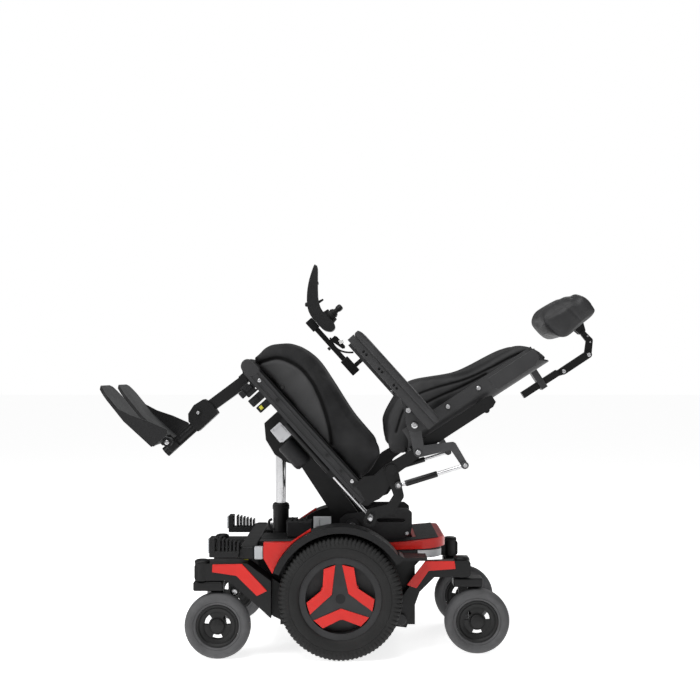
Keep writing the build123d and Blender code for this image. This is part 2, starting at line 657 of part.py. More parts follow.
# ---------------------------------------------------------------- armrests
def armrest():
    """Left armrest arm, seat frame."""
    arm = block(-112, 224, -ARMREST_Y - 14, -ARMREST_Y + 14, 314, 336)
    for x in (-58, 6, 67):
        arm -= drum(4, (x, 325), -ARMREST_Y - 20, -ARMREST_Y - 8)
        arm -= drum(4, (x + 12, 325), -ARMREST_Y - 20, -ARMREST_Y - 8)
    arm += block(92, 224, -ARMREST_Y + 10, -266 - GAP, 326, 336)
    plate = slab([(92, 336), (224, 336), (216, 300), (206, 280), (190, 272), (174, 278), (140, 300), (100, 318)],
                 -276, -266 - GAP)
    plate = fillet(plate.edges().filter_by(Axis.Y), 4)
    arm += plate
    arm += drum(9, (148, 312), -282, -270)
    arm -= drum(ARMREST_PIN_R + RUN, ARMREST_PIVOT, -282, -250)
    return in_seat(arm)


def armrest_pad():
    pad = block(-116, 228, -ARMREST_Y - 30, -ARMREST_Y + 30, 336 + GAP, 358)
    pad = fillet(pad.edges().filter_by(Axis.Z), 14)
    pad = fillet(pad.edges().group_by(Axis.Z)[-1], 6)
    return in_seat(pad)


# ---------------------------------------------------------------- joystick
def joystick_arm():
    y = ARMREST_Y
    body = block(-258, -28, y - 6, y + 6, 264, 281, 2)
    body += slab([(-166, 276), (-166, 302), (-158, 306), (-117, 305), (-112, 299), (-117, 292), (-152, 284),
                  (-158, 276)], y - 8, y + 6)
    body += block(-88, -26, y - 11, y + 11, 258, 288, 3)
    body += block(-54, -40, y - 6, y + 6, 286, 314 - GAP)
    body += drum(7, (-47, 300), y - 9, y + 9)
    body += block(-262, -222, y - 14, y + 14, 258, 286 - GAP, 3)
    return in_seat(body)


def joystick_module():
    x, z = STICK
    side = [(-383, 404), (-380, 410), (-371, 412), (-309, 356), (-256, 327), (-192, 328), (-181, 318), (-183, 300),
            (-202, 287), (-262, 286), (-296, 298), (-324, 322)]
    body = slab(side, STICK_Y - 35, STICK_Y + 35)
    body = fillet(body.edges().filter_by(Axis.Y).filter_by_position(Axis.X, -384, -370), 3)
    body -= block(-300, -270, STICK_Y - 6.5, STICK_Y + 6.5, 324, 380)
    body += drum(2, (-285, 331), STICK_Y - 8, STICK_Y + 8)
    front = body & block(-400, -256, STICK_Y - 40, STICK_Y + 40, 200, 450)
    rear = body & block(-256 + GAP, -100, STICK_Y - 40, STICK_Y + 40, 200, 450)
    lug = block(x - 5, x + 5, STICK_Y + 16, STICK_Y + 21, 327.9, z + 5)
    lug -= drum(2 + RUN, STICK, STICK_Y - 40, STICK_Y + 40)
    other = Pos(0, 2 * STICK_Y, 0) * mirrored(lug)
    return in_seat(front + rear + lug + other)


def joystick_gimbal():
    x, z = STICK
    body = post(14, x, STICK_Y, z - 2.5, z + 2.5) - post(9, x, STICK_Y, z - 10, z + 10)
    body += drum(2, STICK, STICK_Y - 21, STICK_Y - 10) + drum(2, STICK, STICK_Y + 10, STICK_Y + 21)
    body -= Pos(x, STICK_Y, z) * Rot(0, 90, 0) * Cylinder(1.5 + RUN, 40)
    return in_seat(body)


def joystick_knob():
    x, z = STICK
    body = Pos(x, STICK_Y, z) * Sphere(8.9)
    body += Pos(x, STICK_Y, z) * Rot(0, 90, 0) * Cylinder(1.5, 26)
    body += post(3.5, x, STICK_Y, z, 370)
    body += Pos(x, STICK_Y, z + 15) * Cone(9, 4.5, 14)
    body += Pos(x, STICK_Y, 372) * Sphere(11)
    return in_seat(body)


def joystick_toggle():
    body = strap([(-285, 331, 5), (-281, 352, 3)], STICK_Y - 6, STICK_Y + 6)
    body -= drum(2 + RUN, (-285, 331), STICK_Y - 20, STICK_Y + 20)
    return in_seat(body)


def joystick_cable():
    """Lead from the joystick into the underside of the armrest."""
    path = Spline((-172, ARMREST_Y + 22, 287), (-140, ARMREST_Y + 24, 274), (-100, ARMREST_Y + 22, 290),
                  (-84, ARMREST_Y + 11, 311))
    body = sweep(Plane(origin=path @ 0, z_dir=path % 0) * Circle(3.2), path=path)
    return in_seat(body)


# ---------------------------------------------------------------- headrest
def headrest_bar():
    body = block(41, 61, -12, 12, 455, 582)
    body += strap([(52, 576, 8), (HEAD_J1[0], HEAD_J1[1], 11)], -6, 6)
    body -= drum(HEAD_PIN_R + RUN, HEAD_J1, -20, 20)
    return in_back(body)


def headrest_link_lower():
    cheek = strap([(HEAD_J1[0], HEAD_J1[1], 11), (HEAD_J2[0], HEAD_J2[1], 11)], -13, -6.5)
    body = both(cheek)
    body += drum(HEAD_PIN_R, HEAD_J1, -17, 17) + drum(HEAD_PIN_R, HEAD_J2, -17, 17)
    return in_back(body)


def headrest_link_upper():
    body = strap([(HEAD_J2[0], HEAD_J2[1], 11), (22, 717, 10), (HEAD_J3[0], HEAD_J3[1], 8)], -6, 6)
    body -= drum(HEAD_PIN_R + RUN, HEAD_J2, -20, 20)
    body += drum(HEAD_PIN_R, HEAD_J3, -20, 20)
    return in_back(body)


def headrest_pad():
    side = [(-76, 612), (-134, 608), (-142, 646), (-137, 715), (-127, 728), (-125, 759), (-90, 768), (-50, 768),
            (-42, 760), (-36, 706), (-28, 641), (-44, 622)]
    body = slab(side, -128, 128)
    body = fillet(body.edges().filter_by(Axis.Y), 5)
    lug = slab([(-42, 690), (-42, 732), (-12, 722), (-3, 712), (-12, 700)], -17, -7)
    lug += drum(10, HEAD_J3, -17, -7)
    lug -= drum(HEAD_PIN_R + RUN, HEAD_J3, -40, 0)
    body += both(lug)
    return in_back(body)


# ---------------------------------------------------------------- all parts
def mirrored(shape):
    return shape.mirror(Plane.XZ)


def build_all():
    nodes = {}
    nodes["base_frame"] = base_frame()
    nodes["battery_pack"] = battery_pack()
    nodes["base_cover"] = base_cover()
    nodes["rear_cover"] = rear_cover()
    nodes["side_panels"] = side_panels()
    nodes["fenders"] = both(fender())
    nodes["gearmotors"] = both(gearmotor())
    nodes["power_module"] = power_module()
    nodes["headlights"] = both(headlight())
    nodes["lenses"] = lenses()
    nodes["seat_mount_bracket"] = seat_mount_bracket()
    left_front = -FRONT_Y
    left_rear = -REAR_Y
    handed = {
        "brake_lever": brake_lever(),
        "drive_tyre": drive_tyre(),
        "drive_rim": drive_rim(),
        "wheel_trim": wheel_trim(),
        "arm_front": arm_front(),
        "arm_rear": arm_rear(),
        "fork_front": fork(left_front, FRONT_SWIVEL_X),
        "fork_rear": fork(left_rear, REAR_SWIVEL_X),
        "caster_front": caster_wheel(left_front, FRONT_SWIVEL_X),
        "caster_rear": caster_wheel(left_rear, REAR_SWIVEL_X),
        "footplate": footplate(),
        "armrest": armrest(),
        "armrest_pad": armrest_pad(),
    }
    for name, shape in handed.items():
        nodes[name + "_left"] = shape
        nodes[name + "_right"] = mirrored(shape)
    nodes["lift_arm"] = lift_arm()
    nodes["actuator_housing"] = actuator_housing()
    nodes["actuator_rod"] = actuator_rod()
    nodes["seat_frame"] = seat_frame()
    nodes["seat_cushion"] = seat_cushion()
    nodes["leg_actuator"] = leg_actuator()
    nodes["recline_rods"] = recline_rods()
    nodes["leg_upper_tube"] = leg_upper_tube()
    nodes["leg_lower_tube"] = leg_lower_tube()
    nodes["back_arms"] = back_arms()
    nodes["back_brackets"] = back_brackets()
    nodes["back_shell"] = back_shell()
    nodes["back_cushion"] = back_cushion()
    nodes["joystick_arm"] = joystick_arm()
    nodes["joystick_module"] = joystick_module()
    nodes["joystick_gimbal"] = joystick_gimbal()
    nodes["joystick_knob"] = joystick_knob()
    nodes["joystick_toggle"] = joystick_toggle()
    nodes["joystick_cable"] = joystick_cable()
    nodes["headrest_bar"] = headrest_bar()
    nodes["headrest_link_lower"] = headrest_link_lower()
    nodes["headrest_link_upper"] = headrest_link_upper()
    nodes["headrest_pad"] = headrest_pad()
    return nodes


os.makedirs("parts", exist_ok=True)
for name, shape in build_all().items():
    export_step(Pos(ROW_SHIFT_X, 0, 0) * shape, "parts/" + name + ".step")
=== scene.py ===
import json
import math

import bmesh
import bpy
import numpy as np
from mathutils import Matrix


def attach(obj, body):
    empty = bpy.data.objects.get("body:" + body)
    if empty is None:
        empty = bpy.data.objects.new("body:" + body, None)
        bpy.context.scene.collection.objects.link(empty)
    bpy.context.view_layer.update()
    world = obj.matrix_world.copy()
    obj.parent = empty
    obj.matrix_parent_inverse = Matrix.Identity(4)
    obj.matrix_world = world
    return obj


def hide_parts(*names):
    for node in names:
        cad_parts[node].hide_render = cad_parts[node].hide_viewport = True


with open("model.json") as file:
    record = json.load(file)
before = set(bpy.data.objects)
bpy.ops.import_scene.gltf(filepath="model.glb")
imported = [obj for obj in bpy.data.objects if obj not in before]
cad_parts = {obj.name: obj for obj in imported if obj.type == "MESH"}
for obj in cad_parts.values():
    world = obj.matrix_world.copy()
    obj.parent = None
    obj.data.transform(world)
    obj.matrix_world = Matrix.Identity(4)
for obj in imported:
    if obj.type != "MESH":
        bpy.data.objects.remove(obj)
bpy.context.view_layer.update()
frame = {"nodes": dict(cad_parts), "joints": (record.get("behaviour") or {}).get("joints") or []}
PIVOT = {j["name"]: np.array(j.get("pos_m", (0, 0, 0))) for j in frame["joints"]}

SEAT_TILT = 48.0       # degrees the seat frame is turned about +Y
BACK_LEAN = 9.0        # further turn of the back frame
BACK_PIVOT = (241.6, 0.0, 161.0)
AXLE = PIVOT["drive_spin_left"]
SEAT_PIVOT = np.array([PIVOT["seat_on_lift_arm"][0], 0, PIVOT["seat_on_lift_arm"][2]])
CASTER_RADIUS = 93.5   # millimetres, as are the next two: (x, y) of each left caster's middle
FRONT_CASTER = (-347, -250)
REAR_CASTER = (392, -190)


# ---------------------------------------------------------------- places
def turn(points, degrees):
    """Points turned about +Y: x gains z times the sine, z loses x times the sine."""
    p = np.asarray(points, float)
    c = math.cos(math.radians(degrees))
    s = math.sin(math.radians(degrees))
    return np.stack([p[..., 0] * c + p[..., 2] * s, p[..., 1], p[..., 2] * c - p[..., 0] * s], -1)


def in_base(points):
    """Millimetres from the point on the floor under the drive axle."""
    return np.asarray(points, float) / 1000 + np.array([AXLE[0], 0, 0])


def in_seat(points):
    """Millimetres in the seat frame, whose origin is the seat pivot."""
    return turn(points, SEAT_TILT) / 1000 + SEAT_PIVOT


def in_back(points):
    """Millimetres in the back frame, whose origin is the back pivot."""
    return in_seat(turn(points, BACK_LEAN) + np.array(BACK_PIVOT))


# ---------------------------------------------------------------- finishes
class Wire:
    """A number carried by a node socket. Arithmetic on it adds Math nodes."""

    def __init__(self, finish, socket):
        self.finish = finish
        self.socket = socket

    def math(self, kind, *others):
        values = {i: v for i, v in enumerate((self,) + others)}
        return self.finish.node("ShaderNodeMath", {"operation": kind}, values)

    def __add__(self, other):
        return self.math("ADD", other)

    __radd__ = __add__

    def __mul__(self, other):
        return self.math("MULTIPLY", other)

    __rmul__ = __mul__

    def __sub__(self, other):
        return self.math("SUBTRACT", other)

    def __rsub__(self, other):
        return self.finish.node("ShaderNodeMath", {"operation": "SUBTRACT"}, {0: other, 1: self})

    def __truediv__(self, other):
        return self.math("DIVIDE", other)

    def ramp(self, low, high):
        """0 below low, 1 above high, smooth between."""
        values = {"Value": self, "From Min": low, "From Max": high}
        return self.finish.node("ShaderNodeMapRange", {"interpolation_type": "SMOOTHSTEP"}, values)

    def split(self):
        """The three numbers of a vector."""
        made = self.finish.node("ShaderNodeSeparateXYZ", {}, {0: self}).socket.node
        return [Wire(self.finish, made.outputs[i]) for i in range(3)]


class Finish:
    """A material under construction and the shader it ends in."""

    def __init__(self, name, colour, rough, **constants):
        self.material = bpy.data.materials.new(name)
        self.material.use_nodes = True
        self.tree = self.material.node_tree
        self.shader = self.tree.nodes["Principled BSDF"]
        self.colour = colour
        self.shader.inputs["Base Color"].default_value = (*colour, 1)
        self.shader.inputs["Roughness"].default_value = rough
        self.shader.inputs["Specular IOR Level"].default_value = 0.26
        for key, value in constants.items():
            self.shader.inputs[key].default_value = value
        self.place = self.node("ShaderNodeTexCoord", {}, {}, "Object")

    def plug(self, socket, value):
        if isinstance(value, Wire):
            self.tree.links.new(value.socket, socket)
        else:
            socket.default_value = value

    def node(self, kind, settings, inputs, out=0):
        """Any node: its settings first, then the values or wires of its sockets."""
        made = self.tree.nodes.new(kind)
        for key, value in settings.items():
            setattr(made, key, value)
        for key, value in inputs.items():
            self.plug(made.inputs[key], value)
        return Wire(self, made.outputs[out])

    def noise(self, scale, detail=2.0):
        values = {"Vector": self.place, "Scale": scale, "Detail": detail}
        return self.node("ShaderNodeTexNoise", {}, values, "Fac")

    def cells(self, scale):
        values = {"Vector": self.place, "Scale": scale}
        return self.node("ShaderNodeTexVoronoi", {"feature": "DISTANCE_TO_EDGE"}, values, "Distance")

    def mix(self, factor, first, second):
        """A colour between two colours."""
        sockets = {0: factor, 6: (*first, 1) if isinstance(first, tuple) else first,
                   7: (*second, 1) if isinstance(second, tuple) else second}
        return self.node("ShaderNodeMix", {"data_type": "RGBA"}, sockets, 2)

    def radius(self, centre):
        """Distance from a wheel's axle line, in metres."""
        x, y, z = self.place.split()
        dx = x - float(centre[0])
        dz = z - float(centre[2])
        return (dx * dx + dz * dz).math("SQRT")

    def attribute(self, name):
        return self.node("ShaderNodeAttribute", {"attribute_name": name}, {}, "Fac")

    def tint(self, factor, first, second):
        self.plug(self.shader.inputs["Base Color"], self.mix(factor, first, second))
        return self

    def rough(self, value):
        self.plug(self.shader.inputs["Roughness"], value)
        return self

    def bump(self, height, strength, depth=0.001):
        values = {"Height": height, "Strength": strength, "Distance": depth}
        normal = self.node("ShaderNodeBump", {}, values, "Normal")
        self.plug(self.shader.inputs["Normal"], normal)
        return self


def shade(colour, factor):
    return tuple(c * factor for c in colour)


def powder_coat(name, colour, rough=0.42, metal=0.0):
    """Baked powder: a fine orange peel, with slight clouding of the gloss."""
    f = Finish(name, colour, rough, Metallic=metal)
    f.tint(f.noise(18, 3).ramp(0.3, 0.7), shade(colour, 0.85), shade(colour, 1.15))
    f.rough(f.noise(40, 3) * 0.16 + (rough - 0.08))
    return f.bump(f.noise(900, 2), 0.22, 0.0004)


def moulded(name, colour, rough=0.5, grain=1100, strength=0.3):
    """Injection moulded plastic with an etched grain."""
    f = Finish(name, colour, rough)
    f.tint(f.noise(9, 2).ramp(0.25, 0.75), shade(colour, 0.88), shade(colour, 1.12))
    f.rough(f.noise(60, 2) * 0.14 + (rough - 0.07))
    return f.bump(f.cells(grain).ramp(0.0, 0.35), strength, 0.0003)


def painted(name, colour, rough=0.34):
    """Gloss paint on plastic: clear coat over a lightly mottled colour."""
    f = Finish(name, colour, rough)
    f.shader.inputs["Coat Weight"].default_value = 0.22
    f.shader.inputs["Coat Roughness"].default_value = 0.18
    f.tint(f.noise(14, 2).ramp(0.3, 0.7), shade(colour, 0.93), shade(colour, 1.05))
    f.rough(f.noise(50, 3) * 0.1 + (rough - 0.05))
    return f.bump(f.noise(260, 2), 0.06, 0.0004)


def rubber(name, colour, rough=0.72, dust=0.35):
    """Moulded rubber with a faint bloom of dust."""
    f = Finish(name, colour, rough)
    bloom = f.noise(22, 4).ramp(0.42, 0.75) * dust
    f.tint(bloom, colour, shade(colour, 1.9))
    f.rough(f.noise(70, 3) * 0.18 + (rough - 0.09))
    return f.bump(f.noise(650, 3), 0.25, 0.0005)


def ringed_rubber(name, colour, centre, pitch, strength, rough=0.7):
    """Wheel rubber with fine moulded rings round the axle."""
    f = Finish(name, colour, rough)
    wave = (f.radius(centre) * (2 * math.pi / pitch)).math("SINE")
    f.tint(f.noise(16, 4).ramp(0.4, 0.8) * 0.5, colour, shade(colour, 1.6))
    f.rough(f.noise(70, 3) * 0.16 + (rough - 0.08))
    return f.bump(wave * 0.5 + f.noise(600, 2), strength, 0.0005)


def plated(name, colour, rough, brush=0.0):
    """Bright metal: chrome or zinc, with drawing lines along Z where it is brushed."""
    f = Finish(name, colour, rough, Metallic=1.0)
    stretch = f.node("ShaderNodeMapping", {}, {"Vector": f.place, "Scale": (1, 1, 0.02)})
    lines = f.node("ShaderNodeTexNoise", {}, {"Vector": stretch, "Scale": 1400.0, "Detail": 2.0}, "Fac")
    f.tint(f.noise(30, 3).ramp(0.3, 0.7), shade(colour, 0.9), colour)
    f.rough(f.noise(90, 2) * 0.1 + (rough - 0.04))
    return f.bump(lines, brush, 0.0002)


def stretch_fabric(name, colour, side_colour, rough=0.82):
    """Knitted cover: two crossed wave patterns make the stitch, with a paler side panel where the sewing says, and
    painted shade that darkens the sunk seam groove almost to black.
    """
    f = Finish(name, colour, rough)
    f.shader.inputs["Specular IOR Level"].default_value = 0.2
    x, y, z = f.place.split()
    across = ((x + z) * 2600.0).math("SINE")
    along = ((y + (x - z) * 0.2) * 2600.0).math("SINE")
    knit = across * along
    panel = f.attribute("side_panel")
    seam_shade = f.attribute("seam_shade")
    base = f.mix(panel, colour, side_colour)
    worn = f.mix(f.noise(7, 3).ramp(0.35, 0.7) * 0.35, base, shade(side_colour, 1.15))
    # painted shade: along the sunk seam the colour goes nearly black, standing in for the shadow inside the groove
    f.plug(f.shader.inputs["Base Color"], f.mix(seam_shade.ramp(0.1, 0.75), worn, shade(colour, 0.06)))
    f.rough(f.noise(45, 3) * 0.12 + (rough - 0.06))
    return f.bump(knit * 0.35 + f.noise(240, 3), 0.35, 0.0006)


def soft_grain(name, colour, rough=0.5):
    """Soft-touch skin on foam, with a leather-like cell grain."""
    f = Finish(name, colour, rough)
    f.tint(f.noise(12, 3).ramp(0.3, 0.7), shade(colour, 0.85), shade(colour, 1.2))
    f.rough(f.noise(50, 3) * 0.16 + (rough - 0.08))
    return f.bump(f.cells(420).ramp(0.0, 0.25), 0.35, 0.0005)


def tread_plate(name, colour):
    """Footplate: moulded anti-slip pimples in rows on grey, with plain black side walls."""
    f = Finish(name, colour, 0.62)
    x, y, z = f.place.split()
    rows = ((x * 0.743 + z * 0.669) * 1250.0).math("SINE")
    studs = (rows * (y * 1250.0).math("SINE")).ramp(0.2, 0.8)
    facing = f.node("ShaderNodeNewGeometry", {}, {}, "Normal").split()[1].math("ABSOLUTE")
    tread = f.mix(f.noise(12, 3).ramp(0.3, 0.75), shade(colour, 0.8), shade(colour, 1.25))
    f.tint(facing.ramp(0.3, 0.7), tread, (0.009, 0.009, 0.0095))
    f.rough(f.noise(60, 3) * 0.16 + 0.54)
    return f.bump(studs + f.noise(500, 2) * 0.6, 0.45, 0.0008)


BLACK = (0.0045, 0.0045, 0.0048)
RED = (0.56, 0.0085, 0.004)
finish = {
    "black_frame": powder_coat("black powder coat", BLACK),
    "battery_case": moulded("battery case", (0.02, 0.02, 0.021), 0.6),
    "black_cover": moulded("black cover plastic", (0.006, 0.006, 0.0064), 0.48),
    "red_cover": painted("red cover paint", RED),
    "cast_motor": powder_coat("cast motor housing", (0.014, 0.014, 0.015), 0.5, 0.3),
    "electronics": moulded("electronics case", (0.010, 0.010, 0.011), 0.55),
    "lamp_lens": moulded("ribbed lens", (0.72, 0.74, 0.76), 0.16, 240, 0.6),
    "steel_plate": powder_coat("plate powder coat", (0.024, 0.024, 0.025), 0.45),
    "rim": powder_coat("rim satin grey", (0.026, 0.026, 0.027), 0.42, 0.15),
    "chrome": plated("chrome tube", (0.66, 0.66, 0.67), 0.16, 0.05),
    "cushion_cover": stretch_fabric("seat knit cover", (0.010, 0.010, 0.0105), (0.048, 0.048, 0.049)),
    "foam_pad": soft_grain("soft pad skin", (0.026, 0.026, 0.027)),
    "bright_steel": plated("zinc fastener", (0.60, 0.60, 0.61), 0.3, 0.1),
    "back_shell": moulded("back shell plastic", (0.034, 0.034, 0.035), 0.46, 1500, 0.1),
    "footplate": tread_plate("footplate tread", (0.045, 0.046, 0.047)),
    "joystick_plastic": moulded("joystick plastic", (0.012, 0.012, 0.0125), 0.42, 1500, 0.1),
    "cable": rubber("cable jacket", (0.010, 0.010, 0.010), 0.5, 0.15),
    "light_steel": powder_coat("grey bracket coat", (0.060, 0.060, 0.062), 0.42, 0.2),
    "tyre": ringed_rubber("drive tyre rubber", (0.012, 0.012, 0.012), AXLE, 0.011, 0.3),
    "caster": rubber("caster rubber grey", (0.072, 0.072, 0.074), 0.66, 0.3),
    "hub": moulded("caster hub black", (0.010, 0.010, 0.010), 0.45),
    "pale_grey": moulded("pale grey band", (0.42, 0.43, 0.44), 0.5, 700, 0.4),
    "silver": plated("cast silver housing", (0.62, 0.62, 0.64), 0.34, 0.1),
    "yellow": painted("yellow grip", (0.55, 0.52, 0.04), 0.45),
    "white_dot": moulded("white cap", (0.75, 0.75, 0.74), 0.4),
}


# ---------------------------------------------------------------- shells
def shell(points, quads, extra=()):
    """A mesh held as its points and faces."""
    return np.asarray(points, float).reshape(-1, 3), [tuple(q) for q in np.asarray(quads).tolist()] + list(extra)


def lattice(n, m, wrap_n=False, wrap_m=False):
    """Faces of an n by m grid of points, closed round either way where it wraps."""
    i, j = np.meshgrid(np.arange(n if wrap_n else n - 1), np.arange(m if wrap_m else m - 1), indexing="ij")
    i, j = i.ravel(), j.ravel()
    a, b = i * m + j, ((i + 1) % n) * m + j
    return np.stack([a, b, ((i + 1) % n) * m + (j + 1) % m, i * m + (j + 1) % m], -1)


def merged(*shells):
    """Several shells as one."""
    points, faces, start = [], [], 0
    for p, f in shells:
        points.append(p)
        faces += [tuple(i + start for i in face) for face in f]
        start += len(p)
    return np.concatenate(points), faces


def placed(part, place):
    return place(part[0]), part[1]


def flipped(part):
    """The same shell on the other side of the chair: y changes sign."""
    return part[0] * np.array([1, -1, 1]), part[1]


def turned(profile, centre, axis_turns=72):
    """A closed profile of (radius, y) carried round the Y line through centre (x, y, z)."""
    a = np.linspace(0, 2 * np.pi, axis_turns, endpoint=False)[:, None]
    p = np.asarray(profile, float)
    x, y, z = centre
    points = np.stack([x + p[:, 0] * np.cos(a), y + p[:, 1] + 0 * a, z + p[:, 0] * np.sin(a)], -1)
    return shell(points, lattice(axis_turns, len(p), True, True))


def stem(profile, foot, toward, turns=20):
    """A profile of (radius, height) carried round a line from foot along toward. Its ends lie on the line."""
    d = np.asarray(toward, float)
    d = d / np.linalg.norm(d)
    side = np.cross(d, [0.31, 0.95, 0.07] if abs(d[1]) < 0.9 else [1, 0, 0])
    side = side / np.linalg.norm(side)
    other = np.cross(d, side)
    a = np.linspace(0, 2 * np.pi, turns, endpoint=False)[:, None, None]
    p = np.asarray(profile, float)
    ring = np.cos(a) * side + np.sin(a) * other
    points = np.asarray(foot, float) + ring * p[:, 0, None] + d * p[:, 1, None]
    return shell(points, lattice(turns, len(p), True, False))


def plate(outline, y0, y1):
    """A flat outline of (x, z) points given the thickness from y0 to y1."""
    p = np.asarray(outline, float)
    n = len(p)
    points = np.concatenate([np.stack([p[:, 0], 0 * p[:, 0] + y, p[:, 1]], -1) for y in (y0, y1)])
    i = np.arange(n)
    j = (i + 1) % n
    sides = np.stack([i, j, j + n, i + n], -1)
    return shell(points, sides, [tuple(range(n - 1, -1, -1)), tuple(range(n, 2 * n))])


def brick(x0, x1, y0, y1, z0, z1):
    return plate([(x0, z0), (x1, z0), (x1, z1), (x0, z1)], y0, y1)


def tube(path, radius, turns=12):
    """A round section carried along a path of points, with flat ends."""
    p = np.asarray(path, float)
    d = np.gradient(p, axis=0)
    d = d / np.linalg.norm(d, axis=1)[:, None]
    side = np.cross(d, [0.2, 1.0, 0.1])
    side = side / np.linalg.norm(side, axis=1)[:, None]
    other = np.cross(d, side)
    r = np.broadcast_to(np.asarray(radius, float), len(p))[:, None, None]
    a = np.linspace(0, 2 * np.pi, turns, endpoint=False)[None, :, None]
    points = p[:, None] + r * (np.cos(a) * side[:, None] + np.sin(a) * other[:, None])
    last = len(p) * turns
    ends = [tuple(range(turns)), tuple(range(last - turns, last))]
    return shell(points, lattice(len(p), turns, False, True), ends)


def eased(knots, count, closed=False):
    """A smooth line through knots: cubic between them, with each slope taken from its two neighbours."""
    k = np.asarray(knots, float)
    if closed:
        k = np.concatenate([k[-1:], k, k[:2]])
    else:
        k = np.concatenate([2 * k[:1] - k[1:2], k, 2 * k[-1:] - k[-2:-1]])
    spans = len(k) - 3
    t = np.linspace(0, spans, count, endpoint=not closed)
    i = np.minimum(t.astype(int), spans - 1)
    u = (t - i)[:, None]
    a, b, c, d = k[i], k[i + 1], k[i + 2], k[i + 3]
    return b + 0.5 * u * (c - a + u * (2 * a - 5 * b + 4 * c - d + u * (3 * (b - c) + d - a)))


def cap_screw(at, toward, r, h, recess=True):
    """A round screw head: flat seat, rounded shoulder and a six-sided socket sunk in its face."""
    top = [(r * 0.52, h), (r * 0.46, h * 0.35), (0.0, h * 0.35)] if recess else [(0.0, h)]
    profile = [(0.0, -0.4 * h), (r, -0.4 * h), (r, 0.6 * h), (r * 0.93, 0.85 * h), (r * 0.8, h)] + top
    return stem(profile, at, toward, 18)


# ---------------------------------------------------------------- pieces
def make(name, part, material, body, slot=None, replaces=(), bevel=0.0, smooth=35, subdivide=0, segments=2):
    """A finished piece from a shell in the row frame, riding on a body."""
    mesh = bpy.data.meshes.new(name)
    mesh.from_pydata(part[0].tolist(), [], part[1])
    work = bmesh.new()
    work.from_mesh(mesh)
    bmesh.ops.remove_doubles(work, verts=work.verts, dist=1e-6)
    bmesh.ops.recalc_face_normals(work, faces=work.faces)
    work.to_mesh(mesh)
    work.free()
    mesh.shade_smooth()
    mesh.set_sharp_from_angle(angle=math.radians(smooth))
    piece = bpy.data.objects.new(name, mesh)
    bpy.context.scene.collection.objects.link(piece)
    mesh.materials.append(finish[material].material)
    if bevel:
        edge = piece.modifiers.new("edge", "BEVEL")
        edge.width = bevel / 1000
        edge.segments = segments
        edge.limit_method = "ANGLE"
        edge.angle_limit = math.radians(30)
        edge.harden_normals = True
    if subdivide:
        finer = piece.modifiers.new("finer", "SUBSURF")
        finer.levels = subdivide
        finer.render_levels = subdivide
    if body:
        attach(piece, body)
    if replaces:
        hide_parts(*replaces)
    return piece


def pair(name, part, material, body, **more):
    """A left piece and its mirror image on the right. In body and replaces, * stands for the side."""
    made = []
    for side, each in (("left", part), ("right", flipped(part))):
        settings = dict(more)
        if "replaces" in settings:
            settings["replaces"] = [r.replace("*", side) for r in settings["replaces"]]
        made.append(make(name + "_" + side, each, material, body.replace("*", side), **settings))
    return made


def settled(piece):
    """The piece's mesh with its modifiers worked in."""
    graph = bpy.context.evaluated_depsgraph_get()
    solid = bpy.data.meshes.new_from_object(piece.evaluated_get(graph))
    piece.modifiers.clear()
    old = piece.data
    piece.data = solid
    bpy.data.meshes.remove(old)
    return piece


def points_of(piece):
    points = np.zeros(len(piece.data.vertices) * 3)
    piece.data.vertices.foreach_get("co", points)
    return points.reshape(-1, 3)


def set_points(piece, points):
    piece.data.vertices.foreach_set("co", points.ravel())
    piece.data.update()


def swell(piece, voxel, cap, stiffness=15.0, pressure=4.0):
    """Stuffing: a voxel skin blown up as cloth from inside, where no point moves further than cap metres."""
    skin = piece.modifiers.new("skin", "REMESH")
    skin.mode = "VOXEL"
    skin.voxel_size = voxel
    settled(piece)
    rest = points_of(piece)
    cloth = piece.modifiers.new("cover", "CLOTH")
    cloth.settings.use_pressure = True
    cloth.settings.uniform_pressure_force = pressure
    cloth.settings.tension_stiffness = stiffness
    cloth.settings.compression_stiffness = stiffness
    cloth.settings.effector_weights.gravity = 0.0
    scene = bpy.context.scene
    for step in range(1, 21):
        scene.frame_set(step)
    graph = bpy.context.evaluated_depsgraph_get()
    blown = bpy.data.meshes.new_from_object(piece.evaluated_get(graph))
    full = np.zeros(len(blown.vertices) * 3)
    blown.vertices.foreach_get("co", full)
    bpy.data.meshes.remove(blown)
    piece.modifiers.clear()
    scene.frame_set(1)
    move = full.reshape(-1, 3) - rest
    length = np.linalg.norm(move, axis=1, keepdims=True)
    keep = cap * np.tanh(length / cap) / np.maximum(length, 1e-9)
    set_points(piece, rest + move * keep)
    return piece


def softened(piece, times):
    """Each point moved half way to the middle of its neighbours, several times over."""
    edges = np.zeros(len(piece.data.edges) * 2, int)
    piece.data.edges.foreach_get("vertices", edges)
    edges = edges.reshape(-1, 2)
    points = points_of(piece)
    count = np.bincount(edges.ravel(), minlength=len(points))[:, None]
    for _ in range(times):
        total = np.zeros_like(points)
        np.add.at(total, edges[:, 0], points[edges[:, 1]])
        np.add.at(total, edges[:, 1], points[edges[:, 0]])
        points = points * 0.5 + total / np.maximum(count, 1) * 0.5
    set_points(piece, points)
    return piece


def finer(piece, levels=1):
    extra = piece.modifiers.new("finer", "SUBSURF")
    extra.levels = levels
    extra.render_levels = levels
    return settled(piece)


def local_of(points, frame_turn, pivot):
    """Row-frame metres back to millimetres of a turned frame."""
    p = (points - pivot) * 1000
    c = math.cos(math.radians(frame_turn))
    s = math.sin(math.radians(frame_turn))
    return np.stack([p[:, 0] * c - p[:, 2] * s, p[:, 1], p[:, 2] * c + p[:, 0] * s], -1)


def distance_to_line(points, line):
    """Least distance in the x-z plane from each point to a broken line."""
    a, b = np.asarray(line[:-1], float), np.asarray(line[1:], float)
    d = b - a
    best = np.full(len(points), 1e9)
    for k in range(len(a)):
        q = points - a[k]
        t = np.clip((q @ d[k]) / (d[k] @ d[k]), 0, 1)
        best = np.minimum(best, np.linalg.norm(q - t[:, None] * d[k], axis=1))
    return best


